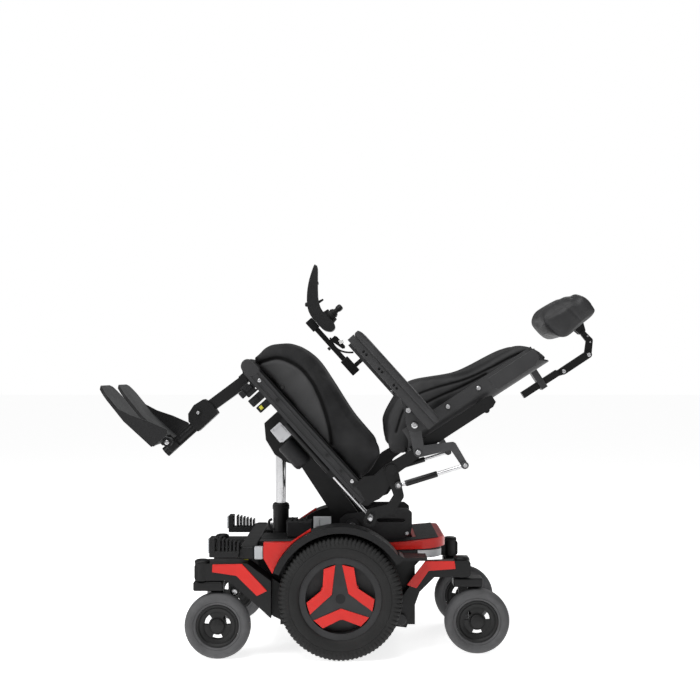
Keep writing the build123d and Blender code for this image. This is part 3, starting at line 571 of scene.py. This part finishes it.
def set_attribute(piece, name, values):
    made = piece.data.attributes.get(name) or piece.data.attributes.new(name, "FLOAT", "POINT")
    made.data.foreach_set("value", values.astype(np.float32))


# ---------------------------------------------------------------- camera, light, floor
def studio():
    scene = bpy.context.scene
    scene.view_settings.view_transform = "Standard"
    scene.view_settings.look = "None"
    camera = bpy.data.objects.new("camera", bpy.data.cameras.new("camera"))
    scene.collection.objects.link(camera)
    camera.location = (-0.0004, -3.415, 0.8034)
    camera.rotation_euler = (math.pi / 2, 0, 0)
    camera.data.sensor_width = 36
    camera.data.lens = 57.55
    camera.data.shift_x = -0.0014
    camera.data.shift_y = 0.0343
    scene.camera = camera
    world = bpy.data.worlds.new("studio")
    world.use_nodes = True
    scene.world = world
    tree = world.node_tree
    tree.nodes.clear()
    seen = tree.nodes.new("ShaderNodeBackground")
    seen.inputs["Color"].default_value = (1, 1, 1, 1)
    seen.inputs["Strength"].default_value = 1.0
    lit = tree.nodes.new("ShaderNodeBackground")
    lit.inputs["Color"].default_value = (1, 1, 1, 1)
    lit.inputs["Strength"].default_value = 0.2
    ray = tree.nodes.new("ShaderNodeLightPath")
    either = tree.nodes.new("ShaderNodeMixShader")
    out = tree.nodes.new("ShaderNodeOutputWorld")
    tree.links.new(ray.outputs["Is Camera Ray"], either.inputs[0])
    tree.links.new(lit.outputs[0], either.inputs[1])
    tree.links.new(seen.outputs[0], either.inputs[2])
    tree.links.new(either.outputs[0], out.inputs[0])
    for name, spot, aim, size, power in (("overhead", (-0.6, -1.2, 3.2), (0, 0, 0.4), 1.9, 78),
                                         ("left_soft", (-3.0, -2.2, 1.9), (0, 0, 0.5), 1.4, 46),
                                         ("behind", (1.8, 2.6, 2.4), (0, 0, 0.5), 2.0, 30)):
        lamp = bpy.data.lights.new(name, "AREA")
        lamp.size = size
        lamp.energy = power
        holder = bpy.data.objects.new(name, lamp)
        scene.collection.objects.link(holder)
        holder.location = spot
        aim_line = np.array(aim) - np.array(spot)
        flat = math.hypot(aim_line[0], aim_line[1])
        holder.rotation_euler = (math.atan2(flat, -aim_line[2]), 0, math.atan2(aim_line[0], -aim_line[1]) + math.pi)
    floor_finish = Finish("studio floor", (0.86, 0.86, 0.86), 0.9)
    floor_finish.shader.inputs["Specular IOR Level"].default_value = 0.1
    floor_finish.shader.inputs["Emission Color"].default_value = (1, 1, 1, 1)
    floor_finish.shader.inputs["Emission Strength"].default_value = 0.8
    mesh = bpy.data.meshes.new("floor")
    mesh.from_pydata([(-40, -40, 0), (40, -40, 0), (40, 40, 0), (-40, 40, 0)], [], [(0, 1, 2, 3)])
    mesh.materials.append(floor_finish.material)
    floor = bpy.data.objects.new("floor", mesh)
    scene.collection.objects.link(floor)


# ---------------------------------------------------------------- cords
def cable():
    """Lead from the joystick down into the underside of the armrest."""
    route = in_seat([(-172, 322, 287), (-140, 324, 274), (-100, 322, 290), (-84, 311, 311)])
    curve = bpy.data.curves.new("joystick_lead", "CURVE")
    curve.dimensions = "3D"
    line = curve.splines.new("NURBS")
    line.points.add(len(route) - 1)
    line.points.foreach_set("co", np.concatenate([route, np.ones((len(route), 1))], 1).ravel())
    line.order_u = 3
    line.use_endpoint_u = True
    line.resolution_u = 24
    curve.bevel_depth = 0.0032
    curve.bevel_resolution = 4
    curve.use_fill_caps = True
    curve.materials.append(finish["cable"].material)
    lead = bpy.data.objects.new("joystick_lead", curve)
    bpy.context.scene.collection.objects.link(lead)
    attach(lead, "armrest_right")
    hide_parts("joystick_cable")


# ---------------------------------------------------------------- wheels
def tyre_profile():
    """Outline of the drive tyre as (radius, y), bead to bead over the crown, then back inside the rim seat."""
    half = [(116, -28), (120, -32.5), (128, -35.5), (138, -36.9), (143, -36.6), (144.5, -35.4), (147, -36.4),
            (156, -35.6), (163, -32.5), (168, -26), (170.2, -16), (170.6, 0)]
    other = [(r, -y) for r, y in half[-2::-1]]
    return eased(half + other, 66)


def drive_tyre():
    """The profile carried round the axle, with 84 staggered lugs raised on the crown and over each shoulder."""
    p = np.concatenate([tyre_profile(), [(115.4, 27), (115.4, -27)]])
    turns = 840
    a = np.linspace(0, 2 * np.pi, turns, endpoint=False)[:, None]
    r, y = p[:, 0][None], p[:, 1][None]
    row = np.where(np.abs(y) > 13.5, 0.0, 0.5)
    wave = (a / (2 * np.pi) * 84 + row + 0.006 * y) % 1.0
    lug = np.clip((0.5 - np.abs(wave - 0.5)) * 7 - 0.75, 0, 1)
    lug = np.where(np.abs(np.abs(y) - 13.5) < 1.6, 0.12, lug)
    crown = np.clip((r - 152) / 12, 0, 1)
    lift = 4.4 * lug * crown
    slope = np.clip((r - 156) / 13, 0.0, 1.0)
    push = 1.6 * lug * (1 - slope) * np.clip((r - 149) / 5, 0, 1) * np.sign(y)
    rr = np.minimum(r + lift * (0.35 + 0.65 * slope), 175.0)
    yy = np.clip(y + push, -37.4, 37.4)
    points = np.stack([rr * np.cos(a), yy + 0 * a - 265, 175 + rr * np.sin(a)], -1)
    return placed(shell(points, lattice(turns, len(p), True, True)), in_base)


def caster_tyre(x, y):
    """Round-shouldered solid tyre with a narrow groove beside the rim."""
    half = [(61, -17), (64, -18.6), (66, -19.2), (67.5, -18.3), (69, -20.2), (76, -23.6), (84, -22.6), (90, -17),
            (93, -9), (93.5, 0)]
    loop = eased(half + [(r, -b) for r, b in half[-2::-1]], 54)
    loop = np.concatenate([loop, [(60.3, 16), (60.3, -16)]])
    return placed(turned(loop, (x, y, CASTER_RADIUS), 128), in_base)


def caster_hub(x, y):
    """Deep dished hub: rim ring, three broad spokes with a window between each two, and a round cap."""
    ring = [(60, -17), (58.5, -18.4), (55, -18.2), (50, -14), (47.5, -9), (46.5, 0), (47.5, 9), (50, 14), (55, 18.2),
            (58.5, 18.4), (60, 17)]
    inner = [(17, -9), (25, -10), (25.6, -9), (25.6, 5), (17, 5)]
    outer = [(38, -11), (39, -12), (50, -15), (50, 12), (38, 9)]
    parts = [turned(ring, (0, 0, 0), 96), turned(inner, (0, 0, 0), 72), turned(outer, (0, 0, 0), 96)]
    cap = [(0.0, -18), (17, -18), (19.2, -16.8), (20, -14.5), (20, 14.5), (19.2, 16.8), (17, 18), (9, 18), (8.4, 17),
           (8.4, -14), (0.0, -14)]
    parts.append(stem([(r, -b) for r, b in cap], (0, 0, 0), (0, -1, 0), 48))
    for angle in (90, 210, 330):
        sweep = np.radians(np.linspace(angle - 36, angle + 36, 13))
        arc = np.stack([np.cos(sweep), np.sin(sweep)], -1)
        parts.append(plate(np.concatenate([arc * 24, arc[::-1] * 39.5]), -10.4, 6))
    points, faces = merged(*parts)
    return placed((points + np.array([x, y, CASTER_RADIUS]), faces), in_base)


def wheels():
    pair("drive_tyre_tread", drive_tyre(), "tyre", "drive_wheel_*", slot="tyre", replaces=["drive_tyre_*"], smooth=28)
    for end, x, y in (("front", *FRONT_CASTER), ("rear", *REAR_CASTER)):
        body = "caster_" + end + "_*"
        pair("caster_tyre_" + end, caster_tyre(x, y), "caster", body, slot="caster", smooth=60,
             replaces=["caster_" + end + "_*"])
        pair("caster_hub_" + end, caster_hub(x, y), "hub", body, slot="caster", bevel=0.8)
    nuts = [cap_screw((71.6, -242, 175 + 42), (0, -1, 0), 5.5, 4)]
    pair("hub_cover_bolt", placed(merged(*nuts), in_base), "cast_motor", "chassis", slot="cast_motor")


# ---------------------------------------------------------------- base
def base_details():
    front = [(-360, 268), (-277, 269.5), (-206, 193.5), (-235, 179), (-293, 236), (-361, 246)]
    pair("front_arm_inlay", placed(plate(front, -270.2, -266), in_base), "red_cover", "arm_front_*",
         slot="red_cover", bevel=1.2)
    rear = [(242, 268.5), (326, 268.5), (329, 246), (252, 240.5), (217, 190.7), (188.7, 200.1)]
    pair("rear_arm_inlay", placed(plate(rear, -216.4, -212), in_base), "red_cover", "arm_rear_*",
         slot="red_cover", bevel=1.2)
    band = brick(-243, -219, -263, -240, 281, 316)
    pair("front_band", placed(band, in_base), "pale_grey", "chassis", bevel=3, segments=3)
    cap = plate([(-288, 281), (-244, 281), (-244, 317), (-276, 317), (-288, 308)], -262, -226)
    pair("front_cap", placed(cap, in_base), "black_cover", "chassis", bevel=5, segments=4, slot="black_cover")
    head = [(0, 0), (20, 0), (21.5, 2), (21.5, 5), (19.5, 8), (15, 10), (0, 10.5)]
    pair("front_stem_cap", placed(stem(head, (-391, -250, 269.6), (0, 0, 1), 40), in_base), "black_cover",
         "arm_front_*", slot="black_frame")
    pair("rear_stem_cap", placed(stem(head, (348, -190, 269.6), (0, 0, 1), 40), in_base), "black_cover",
         "arm_rear_*", slot="black_frame")
    boss = merged(stem([(0, 0), (14, 0), (14, 22), (12.5, 24), (0, 24)], (-302, -204, 184), (0, -1, 0), 28),
                  plate([(-314, 190), (-290, 190), (-282, 226), (-312, 226)], -226, -206))
    pair("arm_stop_boss", placed(boss, in_base), "black_frame", "arm_front_*", slot="black_frame", bevel=0.8)
    pair("arm_stop_screw", placed(cap_screw((-302, -228, 184), (0, -1, 0), 8.5, 4), in_base), "bright_steel",
         "arm_front_*", slot="bright_steel")
    pivots = cap_screw((-130, -224, 130), (0, -1, 0), 11, 5)
    pair("front_pivot_screw", placed(pivots, in_base), "steel_plate", "chassis", slot="steel_plate")
    pair("rear_pivot_cap", placed(stem([(0, 0), (17, 0), (17, 5), (15, 7), (0, 7)], (172, -215, 102), (0, -1, 0), 36),
                                  in_base), "steel_plate", "arm_rear_*", slot="steel_plate")
    grip = stem([(0, -3.2), (7.6, -3.2), (8.2, -1), (8.2, 2.6), (7, 4), (0, 4)], (-270, -224, 277.6), (0, 0, 1), 24)
    pair("brake_lever_grip", placed(grip, in_base), "yellow", "brake_lever_*")
    relay = merged(brick(-164, -128, -66, -36, 325, 366), brick(-158, -134, -60, -42, 364, 372))
    make("relay_box", placed(relay, in_base), "electronics", "chassis", slot="electronics", bevel=2)
    pale = merged(brick(-80, -28, -142.5, -138.4, 352, 387), brick(-74, -62, -145, -142, 358, 381))
    make("cable_socket", placed(pale, in_base), "pale_grey", "chassis", bevel=1.6, segments=3)
    lid = [(112, 311.6), (180, 316.2), (284, 328.3), (284, 329.6), (180, 317.6), (112, 312.8)]
    pair("rear_cover_inset", placed(plate(lid, -160, -102), in_base), "black_cover", "chassis", slot="black_cover",
         bevel=0.5)
    tail = [(222, 320.5), (284, 328.2), (284, 329.7), (222, 322.4)]
    make("rear_cover_tail", placed(plate(tail, -102, 102), in_base), "black_cover", "chassis", slot="black_cover",
         bevel=0.5)
    bend = [(-207, -12, 330), (-214, -12, 336), (-220, -12, 348), (-218, -12, 358), (-210, -12, 362)]
    hook = tube(eased(bend, 16), 4)
    make("column_hook", placed(hook, in_base), "steel_plate", "chassis", slot="steel_plate")


def column_details():
    seal = [(15.9, 402), (23, 402), (24.5, 405), (24, 409), (19, 412), (15.9, 412)]
    p = np.array(seal)
    a = np.linspace(0, 2 * np.pi, 64, endpoint=False)[:, None]
    points = np.stack([-184 + p[:, 0] * np.cos(a), p[:, 0] * np.sin(a), p[:, 1] + 0 * a], -1)
    make("rod_seal", placed(shell(points, lattice(64, len(p), True, True)), in_base), "cable", "actuator_housing")
    screws = cap_screw((34, -97, 354), (0, -1, 0), 10, 6)
    pair("lift_pin_screw", placed(screws, in_base), "bright_steel", "chassis", slot="bright_steel")
    plate_screws = merged(*[cap_screw((x, -93.5, 330), (0, -1, 0), 6, 4) for x in (70, 196)])
    pair("mount_plate_screws", placed(plate_screws, in_base), "bright_steel", "chassis", slot="bright_steel")


# ---------------------------------------------------------------- seat
def rail_profile():
    """Extruded rail face with two long dark slots: a stepped section carried along the rail."""
    section = [(31.5, 0), (31.5, 2.2), (41, 2.2), (42, 0.6), (45.5, 0.6), (46.5, 2.2), (59.5, 2.2), (60.5, 0.6),
               (63.5, 0.6), (64.5, 2.2), (69.5, 2.2), (69.5, 0)]
    ends = (-240, 258)
    s = np.array(section)
    points = np.concatenate([np.stack([0 * s[:, 0] + x, -237.6 - s[:, 1], s[:, 0]], -1) for x in ends])
    n = len(s)
    i = np.arange(n)
    j = (i + 1) % n
    sides = np.stack([i, j, j + n, i + n], -1)
    return shell(points, sides, [tuple(range(n - 1, -1, -1)), tuple(range(n, 2 * n))])


def seat_details():
    pair("rail_face", placed(rail_profile(), in_seat), "steel_plate", "seat", slot="steel_plate", smooth=20)
    heads = merged(*[cap_screw((x, -239.6, z), (0, -1, 0), 5.5, 3.2) for x, z in
                     ((-195.5, 52), (193, 56), (236.8, 121.3), (265.5, 93.5))])
    pair("rail_screws", placed(heads, in_seat), "bright_steel", "seat", slot="bright_steel")
    eyelet = [(0, 1.6), (3.2, 1.6), (3.2, 2.4), (5.2, 2.4), (5.4, 0), (0, 0)]
    rings = merged(*[stem(eyelet, (x, -239.4, z), (0, -1, 0), 20)
                     for x, z in ((-120, 53), (90, 53), (150, 53), (205, 53), (218.5, 57))])
    pair("rail_hole_rings", placed(rings, in_seat), "cable", "seat")
    nose = plate(eased([(-256, 36), (-266, 46), (-268, 58), (-262, 69), (-246, 75), (-222, 75), (-214, 66),
                        (-218, 44), (-236, 34)], 48, True), -241, 241)
    make("seat_nose", placed(nose, in_seat), "foam_pad", "seat", slot="foam_pad", bevel=4, segments=4)
    knob = stem([(0, 0), (6, 0), (6.5, 3), (5, 6), (0, 6)], (-138, -224, 88), (0, -1, 0), 20)
    pair("cover_knob", placed(knob, in_seat), "cable", "seat")
    gear = merged(plate([(-70, -24), (-26, -26), (-20, -18), (-20, 12), (-28, 18), (-64, 18), (-70, 12)], -199, -152),
                  plate([(-60, -18), (-34, -18), (-34, 10), (-60, 10)], -202.5, -198),
                  cap_screw((-64, -199, -18), (0, -1, 0), 3.4, 3), cap_screw((-64, -199, 12), (0, -1, 0), 3.4, 3),
                  cap_screw((-26, -199, -18), (0, -1, 0), 3.4, 3), cap_screw((-26, -199, 11), (0, -1, 0), 3.4, 3))
    make("leg_gearbox", placed(gear, in_seat), "silver", "seat", bevel=2.5, segments=3, replaces=["leg_actuator"])
    motor = stem([(0, 0), (24, 0), (26.5, 3), (27, 8), (27, 70), (25.5, 78), (20, 84), (0, 86)], (-14, -175, -18),
                 (1, 0, 0), 48)
    collar = stem([(24, 6), (27.6, 6), (27.6, 14), (24, 14)], (-14, -175, -18), (1, 0, 0), 48)
    hanger = brick(-62, -30, -186, -164, 16, 66)
    make("leg_motor", placed(merged(motor, collar, hanger), in_seat), "electronics", "seat", slot="electronics")
    plugs = merged(brick(-218, -182, -196, -158, -8, 40), brick(-210, -190, -200, -190, -22, -4),
                   brick(-176, -152, -194, -164, -16, 40), brick(-146, -126, -192, -160, -12, 40),
                   brick(-204, -196, -203, -196, 2, 22), brick(-170, -160, -198, -192, -8, 14))
    make("seat_connectors", placed(plugs, in_seat), "electronics", "seat", slot="electronics", bevel=2)
    dots = merged(*[cap_screw((x, -196, z), (0, -1, 0), 3.4, 3, False) for x, z in ((-212, 22), (-188, 28))])
    make("connector_caps", placed(dots, in_seat), "white_dot", "seat")
    tab = brick(-142, -131, -197, -190, -4, 6)
    make("connector_tab", placed(tab, in_seat), "yellow", "seat", bevel=1)


def cushion_seam():
    """The sewn arc on the cushion's side, in the seat frame."""
    return eased([(-236, 82), (-230, 98), (-206.5, 136), (-151.5, 160), (-100, 160), (-64.3, 152), (-8.7, 131),
                  (40, 106), (78, 80)], 40)


def seat_cushion():
    """Foam block: the side outline is drawn in, skinned, swollen and sewn along an arc on each side."""
    low = 76
    outline = [(-234, low), (-250, 92), (-260, 112), (-257, 132), (-246, 155), (-226, 176), (-190, 193), (-138, 199),
               (-63, 189), (19, 175), (70, 168), (134, 166), (198, 165), (203, 155), (203, 92), (197, low)]
    part = placed(plate(eased(outline, 72, True), -212, 212), in_seat)
    piece = make("seat_cushion_cover", part, "cushion_cover", "", smooth=180)
    swell(piece, 0.0075, 0.016)
    softened(piece, 3)
    finer(piece)
    local = local_of(points_of(piece), SEAT_TILT, SEAT_PIVOT)
    local[:, 1] = np.clip(local[:, 1], -228, 228)
    local[:, 2] = np.where(local[:, 2] < 76.5, 75.5 + 0.1 * (local[:, 2] - 76.5).clip(-8, 1), local[:, 2])
    side = np.clip((np.abs(local[:, 1]) - 182) / 12, 0, 1)
    away = distance_to_line(local[:, [0, 2]], cushion_seam())
    under = panel_mask(local[:, [0, 2]], cushion_seam())
    depth = 10.0 * np.exp(-(away / 6.0) ** 2) * side
    inset = 4.0 * under * side
    local[:, 1] -= np.sign(local[:, 1]) * (depth + inset)
    set_points(piece, in_seat(local))
    # painted shade along the sunk seam groove, which the cover finish turns nearly black
    set_attribute(piece, "seam_shade", np.exp(-(away / 5.5) ** 2) * side)
    set_attribute(piece, "side_panel", under * side)
    finish_pad(piece, "seat", "cushion_cover", "seat_cushion")


def panel_mask(points, line):
    """1 below a line drawn from left to right, 0 above it."""
    height = np.interp(points[:, 0], line[:, 0], line[:, 1], left=-1e3, right=-1e3)
    return np.clip((height - points[:, 1]) / 5, 0, 1)


def finish_pad(piece, body, slot, node):
    piece.data.shade_smooth()
    piece.data.materials.clear()
    piece.data.materials.append(finish[slot].material)
    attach(piece, body)
    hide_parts(node)


# ---------------------------------------------------------------- back
def back_cushion():
    back_x = -16
    outline = [(back_x, 54), (-92, 54), (-116, 68), (-140, 108), (-158, 152), (-161, 178), (-153, 210), (-130, 262),
               (-105, 322), (-95, 376), (-87, 461), (-80, 506), (-68, 532), (-50, 545), (-30, 547), (back_x, 536)]
    part = placed(plate(eased(outline, 72, True), -196, 196), in_back)
    piece = make("back_cushion_cover", part, "cushion_cover", "", smooth=180)
    swell(piece, 0.0075, 0.014)
    softened(piece, 3)
    finer(piece)
    pivot = in_back([0, 0, 0])
    local = local_of(points_of(piece), SEAT_TILT + BACK_LEAN, pivot)
    local[:, 0] = np.minimum(local[:, 0], -13.6)
    seams = [eased([(-78, 70), (-118, 120), (-135, 170), (-124, 230), (-96, 320), (-84, 400), (-76, 480),
                    (-60, 530)], 40),
             eased([(-78, 120), (-100, 170), (-98, 220), (-84, 300), (-76, 380)], 30)]
    side = np.clip((np.abs(local[:, 1]) - 168) / 12, 0, 1)
    away = np.minimum(distance_to_line(local[:, [0, 2]], seams[0]), distance_to_line(local[:, [0, 2]], seams[1]))
    local[:, 1] -= np.sign(local[:, 1]) * (3.5 * np.exp(-(away / 4.0) ** 2) * side)
    limit = np.where(local[:, 0] > -76, 216.0, 222.0)
    local[:, 1] = np.clip(local[:, 1], -limit, limit)
    set_points(piece, in_back(local))
    # painted shade along the sunk seam grooves, which the cover finish turns nearly black
    set_attribute(piece, "seam_shade", np.exp(-(away / 4.0) ** 2) * side * 0.8)
    set_attribute(piece, "side_panel", side * 0.6)
    finish_pad(piece, "back", "cushion_cover", "back_cushion")


def back_details():
    screws = merged(*[cap_screw((x, -222.5, z), (0, -1, 0), 6.5, 4) for x, z in ((-60, 233), (-57, 335))])
    pair("shell_screws", placed(screws, in_back), "bright_steel", "back", slot="bright_steel")
    pins = merged(cap_screw((-0.5, -267.5, 90), (0, -1, 0), 8, 5), cap_screw((101, -276.5, 181), (0, -1, 0), 6, 4),
                  cap_screw((46.5, -276.5, -7), (0, -1, 0), 6, 4))
    pair("bracket_pins", placed(pins, in_back), "bright_steel", "back", slot="bright_steel")
    panel = plate([(-66, 372), (-30, 372), (-22, 384), (-22, 508), (-36, 530), (-66, 530)], -223.4, -220)
    pair("shell_side_panel", placed(panel, in_back), "back_shell", "back", slot="back_shell", bevel=1.5, segments=3)
    ends = tube([(50, -271, 4), (54, -271, 17)], 5.2)
    more = tube([(78, -271, 100), (98, -271, 170)], 5.2)
    pair("tie_rod_ends", placed(merged(ends, more), in_back), "bright_steel", "back", slot="bright_steel")
    sleeve = stem([(0, 0), (7.5, 0), (8.6, 2), (8.6, 90), (7.5, 92), (0, 92)], (53.5, -271, 14), (24.5, 0, 86), 24)
    pair("tie_rod_sleeve", placed(sleeve, in_back), "black_frame", "back", slot="black_frame")


# ---------------------------------------------------------------- armrests
def armrest_pads():
    for side, sign in (("left", -1), ("right", 1)):
        outline = [(-112, 338), (224, 338), (225, 352), (216, 356), (-104, 356), (-113, 352)]
        part = placed(plate(outline, sign * 300 - 26, sign * 300 + 26), in_seat)
        piece = make("armrest_pad_cover_" + side, part, "foam_pad", "", smooth=180)
        swell(piece, 0.003, 0.0035, 30.0)
        softened(piece, 2)
        local = local_of(points_of(piece), SEAT_TILT, SEAT_PIVOT)
        local[:, 2] = np.maximum(local[:, 2], 336.3)
        local[:, 1] = np.clip(local[:, 1], sign * 300 - 30, sign * 300 + 30)
        away = np.abs(local[:, 2] - 343.5)
        edge = np.clip((np.abs(local[:, 1] - sign * 300) - 20) / 6, 0, 1)
        local[:, 1] -= np.sign(local[:, 1] - sign * 300) * 1.4 * np.exp(-(away / 2.6) ** 2) * edge
        set_points(piece, in_seat(local))
        finish_pad(piece, "armrest_" + side, "foam_pad", "armrest_pad_" + side)


def armrest_details():
    round_heads = merged(cap_screw((147.5, -282, 309), (0, -1, 0), 8, 5),
                         cap_screw((190.5, -282, 293.4), (0, -1, 0), 9, 5))
    pair("armrest_screws", placed(round_heads, in_seat), "bright_steel", "armrest_*", slot="bright_steel")
    nuts = merged(*[plate([(x - 5, z), (x, z - 5), (x + 5, z), (x, z + 5)], -280, -276)
                    for x, z in ((97.4, 318.6), (203.5, 318.4))])
    pair("armrest_square_nuts", placed(nuts, in_seat), "bright_steel", "armrest_*", slot="bright_steel", bevel=0.6)


# ---------------------------------------------------------------- joystick
def joystick_details():
    """Smooth module shell, fixed bellows collar round the gimbal, moving boot and pear-shaped grip."""
    x, y, z = -224, 297, 338
    side = [(-382, 405), (-378, 411), (-371, 411), (-345, 388), (-309, 356), (-284, 338), (-256, 327.6),
            (-222, 327.4), (-194, 327), (-182, 317), (-184, 301), (-204, 288), (-236, 286.4), (-268, 287.4),
            (-296, 299), (-326, 324), (-356, 360)]
    case = placed(plate(eased(side, 96, True), y - 35, y + 35), in_seat)
    make("joystick_case", case, "joystick_plastic", "armrest_right", slot="joystick_plastic", bevel=7, segments=5,
         replaces=["joystick_module"], smooth=50)
    collar = [(15.6, -11), (26, -11), (26.6, -9), (24.6, -7), (25.6, -4.5), (23.6, -2.5), (24.4, 0.5), (22.8, 3),
              (23.2, 5.4), (21.6, 6.6), (15.6, 6.6)]
    p = np.array(collar)
    a = np.linspace(0, 2 * np.pi, 56, endpoint=False)[:, None]
    ring = np.stack([x + p[:, 0] * np.cos(a), y + p[:, 0] * np.sin(a), z + p[:, 1] + 0 * a], -1)
    make("joystick_collar", placed(shell(ring, lattice(56, len(p), True, True)), in_seat), "cable", "armrest_right")
    skirt = [(0, 4), (14.2, 4), (14.6, 5.6), (14.4, 8), (16.6, 9.4), (16.8, 12), (14, 13.6), (14.6, 16), (12.6, 18.4),
             (9.4, 20.4), (8.6, 24), (0, 24)]
    make("joystick_boot", placed(stem(skirt, (x, y, z), (0, 0, 1), 40), in_seat), "cable", "joystick_knob")
    grip = eased([(5.4, 20), (7.4, 24), (9.4, 29), (10.6, 35), (10.9, 40), (9.8, 44), (6.8, 46.6), (3, 47.4)], 24)
    grip = np.concatenate([[(0, 20)], grip, [(0, 47.4)]])
    make("joystick_grip", placed(stem(grip, (x, y, z), (0, 0, 1), 40), in_seat), "joystick_plastic", "joystick_knob",
         slot="joystick_plastic", smooth=60)
    keys = [stem([(0, 0), (4.2, 0), (4.2, 1.4), (3.4, 2.2), (0, 2.2)], (-333, y + dy, 377.4), (0.66, 0, 0.75), 20)
            for dy in (-20, 0, 20)]
    make("joystick_keys", placed(merged(*keys), in_seat), "foam_pad", "armrest_right", slot="foam_pad")
    nub = stem([(0, 0), (7, 0), (7.5, 3), (5.8, 7.5), (0, 8.5)], (-303, y, 304), (-0.66, 0, -0.75), 24)
    make("joystick_nub", placed(nub, in_seat), "cable", "armrest_right")
    tip = plate([(-146, 300), (-132, 296), (-128, 308), (-138, 314)], 290, 304)
    make("joystick_arm_mark", placed(tip, in_seat), "white_dot", "armrest_right", bevel=1.2, segments=3)
    screw = stem([(0, 0), (5, 0), (5.4, 2), (5.4, 7), (4.4, 8.4), (0, 8.4)], (-146, 297, 263.6), (0, 0, -1), 20)
    make("joystick_bar_knob", placed(screw, in_seat), "cable", "armrest_right")


def headrest():
    pad_outline = [(-70, 618), (-126, 614), (-134, 646), (-130, 712), (-121, 728), (-119, 752), (-88, 761),
                   (-54, 761), (-49, 756), (-43, 706), (-36, 645), (-46, 626)]
    part = placed(plate(eased(pad_outline, 64, True), -118, 118), in_back)
    piece = make("headrest_pad_cover", part, "foam_pad", "", smooth=180)
    swell(piece, 0.0055, 0.005)
    softened(piece, 2)
    finer(piece)
    pivot = in_back([0, 0, 0])
    local = local_of(points_of(piece), SEAT_TILT + BACK_LEAN, pivot)
    across = np.abs(local[:, 1]) / 118
    front = np.clip((-84 - local[:, 0]) / 40, 0, 1)
    local[:, 0] += front * 14 * np.clip((across - 0.5) / 0.5, 0, 1) ** 2
    local[:, 0] += front * 4 * np.exp(-(across / 0.3) ** 2)
    away = np.abs(local[:, 2] - (700 + 0.2 * (local[:, 0] + 80)))
    end = np.clip((np.abs(local[:, 1]) - 105) / 10, 0, 1)
    local[:, 1] -= np.sign(local[:, 1]) * 2.2 * np.exp(-(away / 4) ** 2) * end
    local[:, 1] = np.clip(local[:, 1], -131, 131)
    set_points(piece, in_back(local))
    piece.data.shade_smooth()
    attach(piece, "headrest_pad")
    lug = plate([(-44, 690), (-44, 732), (-12, 722), (-3, 712), (-12, 700)], -17, -7)
    pair("headrest_lug", placed(lug, in_back), "black_frame", "headrest_pad", slot="black_frame", bevel=1)
    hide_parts("headrest_pad")
    j1 = PIVOT["headrest_reach"]
    j2 = PIVOT["headrest_elbow"]
    for name, at, body in (("reach_screw", j1, "headrest_link_lower"), ("elbow_screw", j2, "headrest_link_lower")):
        part = cap_screw((at[0] * 1000, -17, at[2] * 1000), (0, -1, 0), 6.5, 4)
        pair("headrest_" + name, (part[0] / 1000, part[1]), "bright_steel", body, slot="bright_steel")
    small = merged(*[cap_screw((px, -20, pz), (0, -1, 0), 3, 2) for px, pz in ((7, 719), (26, 716))])
    pair("headrest_clamp_screws", placed((small[0] + np.array([0, 13.6, 0]), small[1]), in_back), "bright_steel",
         "headrest_link_upper", slot="bright_steel")


# ---------------------------------------------------------------- legrest
def leg_details():
    cover = cap_screw((-258, -28, -165), (0, -1, 0), 5.5, 3.5)
    pair("knee_cover_screw", placed(cover, in_seat), "bright_steel", "leg_upper", slot="bright_steel")
    hinge = cap_screw((-252, -66, -289), (0, -1, 0), 7, 4)
    pair("foot_hinge_screw", placed(hinge, in_seat), "bright_steel", "leg_lower", slot="bright_steel")


# ---------------------------------------------------------------- CAD nodes
NODE_FINISH = {
    "black_frame": ["base_frame", "lift_arm", "seat_frame", "back_arms", "leg_upper_tube", "leg_lower_tube",
                    "headrest_bar", "headrest_link_lower", "headrest_link_upper", "brake_lever_left",
                    "brake_lever_right", "joystick_arm", "fork_front_left", "fork_front_right", "fork_rear_left",
                    "fork_rear_right", "arm_front_left", "arm_front_right", "arm_rear_left", "arm_rear_right",
                    "actuator_housing"],
    "battery_case": ["battery_pack"],
    "black_cover": ["base_cover", "fenders", "headlights"],
    "red_cover": ["rear_cover", "side_panels", "wheel_trim_left", "wheel_trim_right"],
    "cast_motor": ["gearmotors"],
    "electronics": ["power_module"],
    "lamp_lens": ["lenses"],
    "steel_plate": ["seat_mount_bracket"],
    "rim": ["drive_rim_left", "drive_rim_right"],
    "chrome": ["actuator_rod"],
    "bright_steel": ["recline_rods"],
    "back_shell": ["back_shell", "armrest_left", "armrest_right"],
    "light_steel": ["back_brackets"],
    "footplate": ["footplate_left", "footplate_right"],
    "joystick_plastic": ["joystick_module", "joystick_knob", "joystick_gimbal", "joystick_toggle"],
}


def dress_nodes():
    for material, names in NODE_FINISH.items():
        for name in names:
            node = frame["nodes"][name]
            if not node.material_slots:
                node.data.materials.append(finish[material].material)
            for held in node.material_slots:
                held.material = finish[material].material


studio()
cable()
dress_nodes()
wheels()
base_details()
column_details()
seat_details()
seat_cushion()
back_cushion()
back_details()
armrest_pads()
armrest_details()
joystick_details()
headrest()
leg_details()
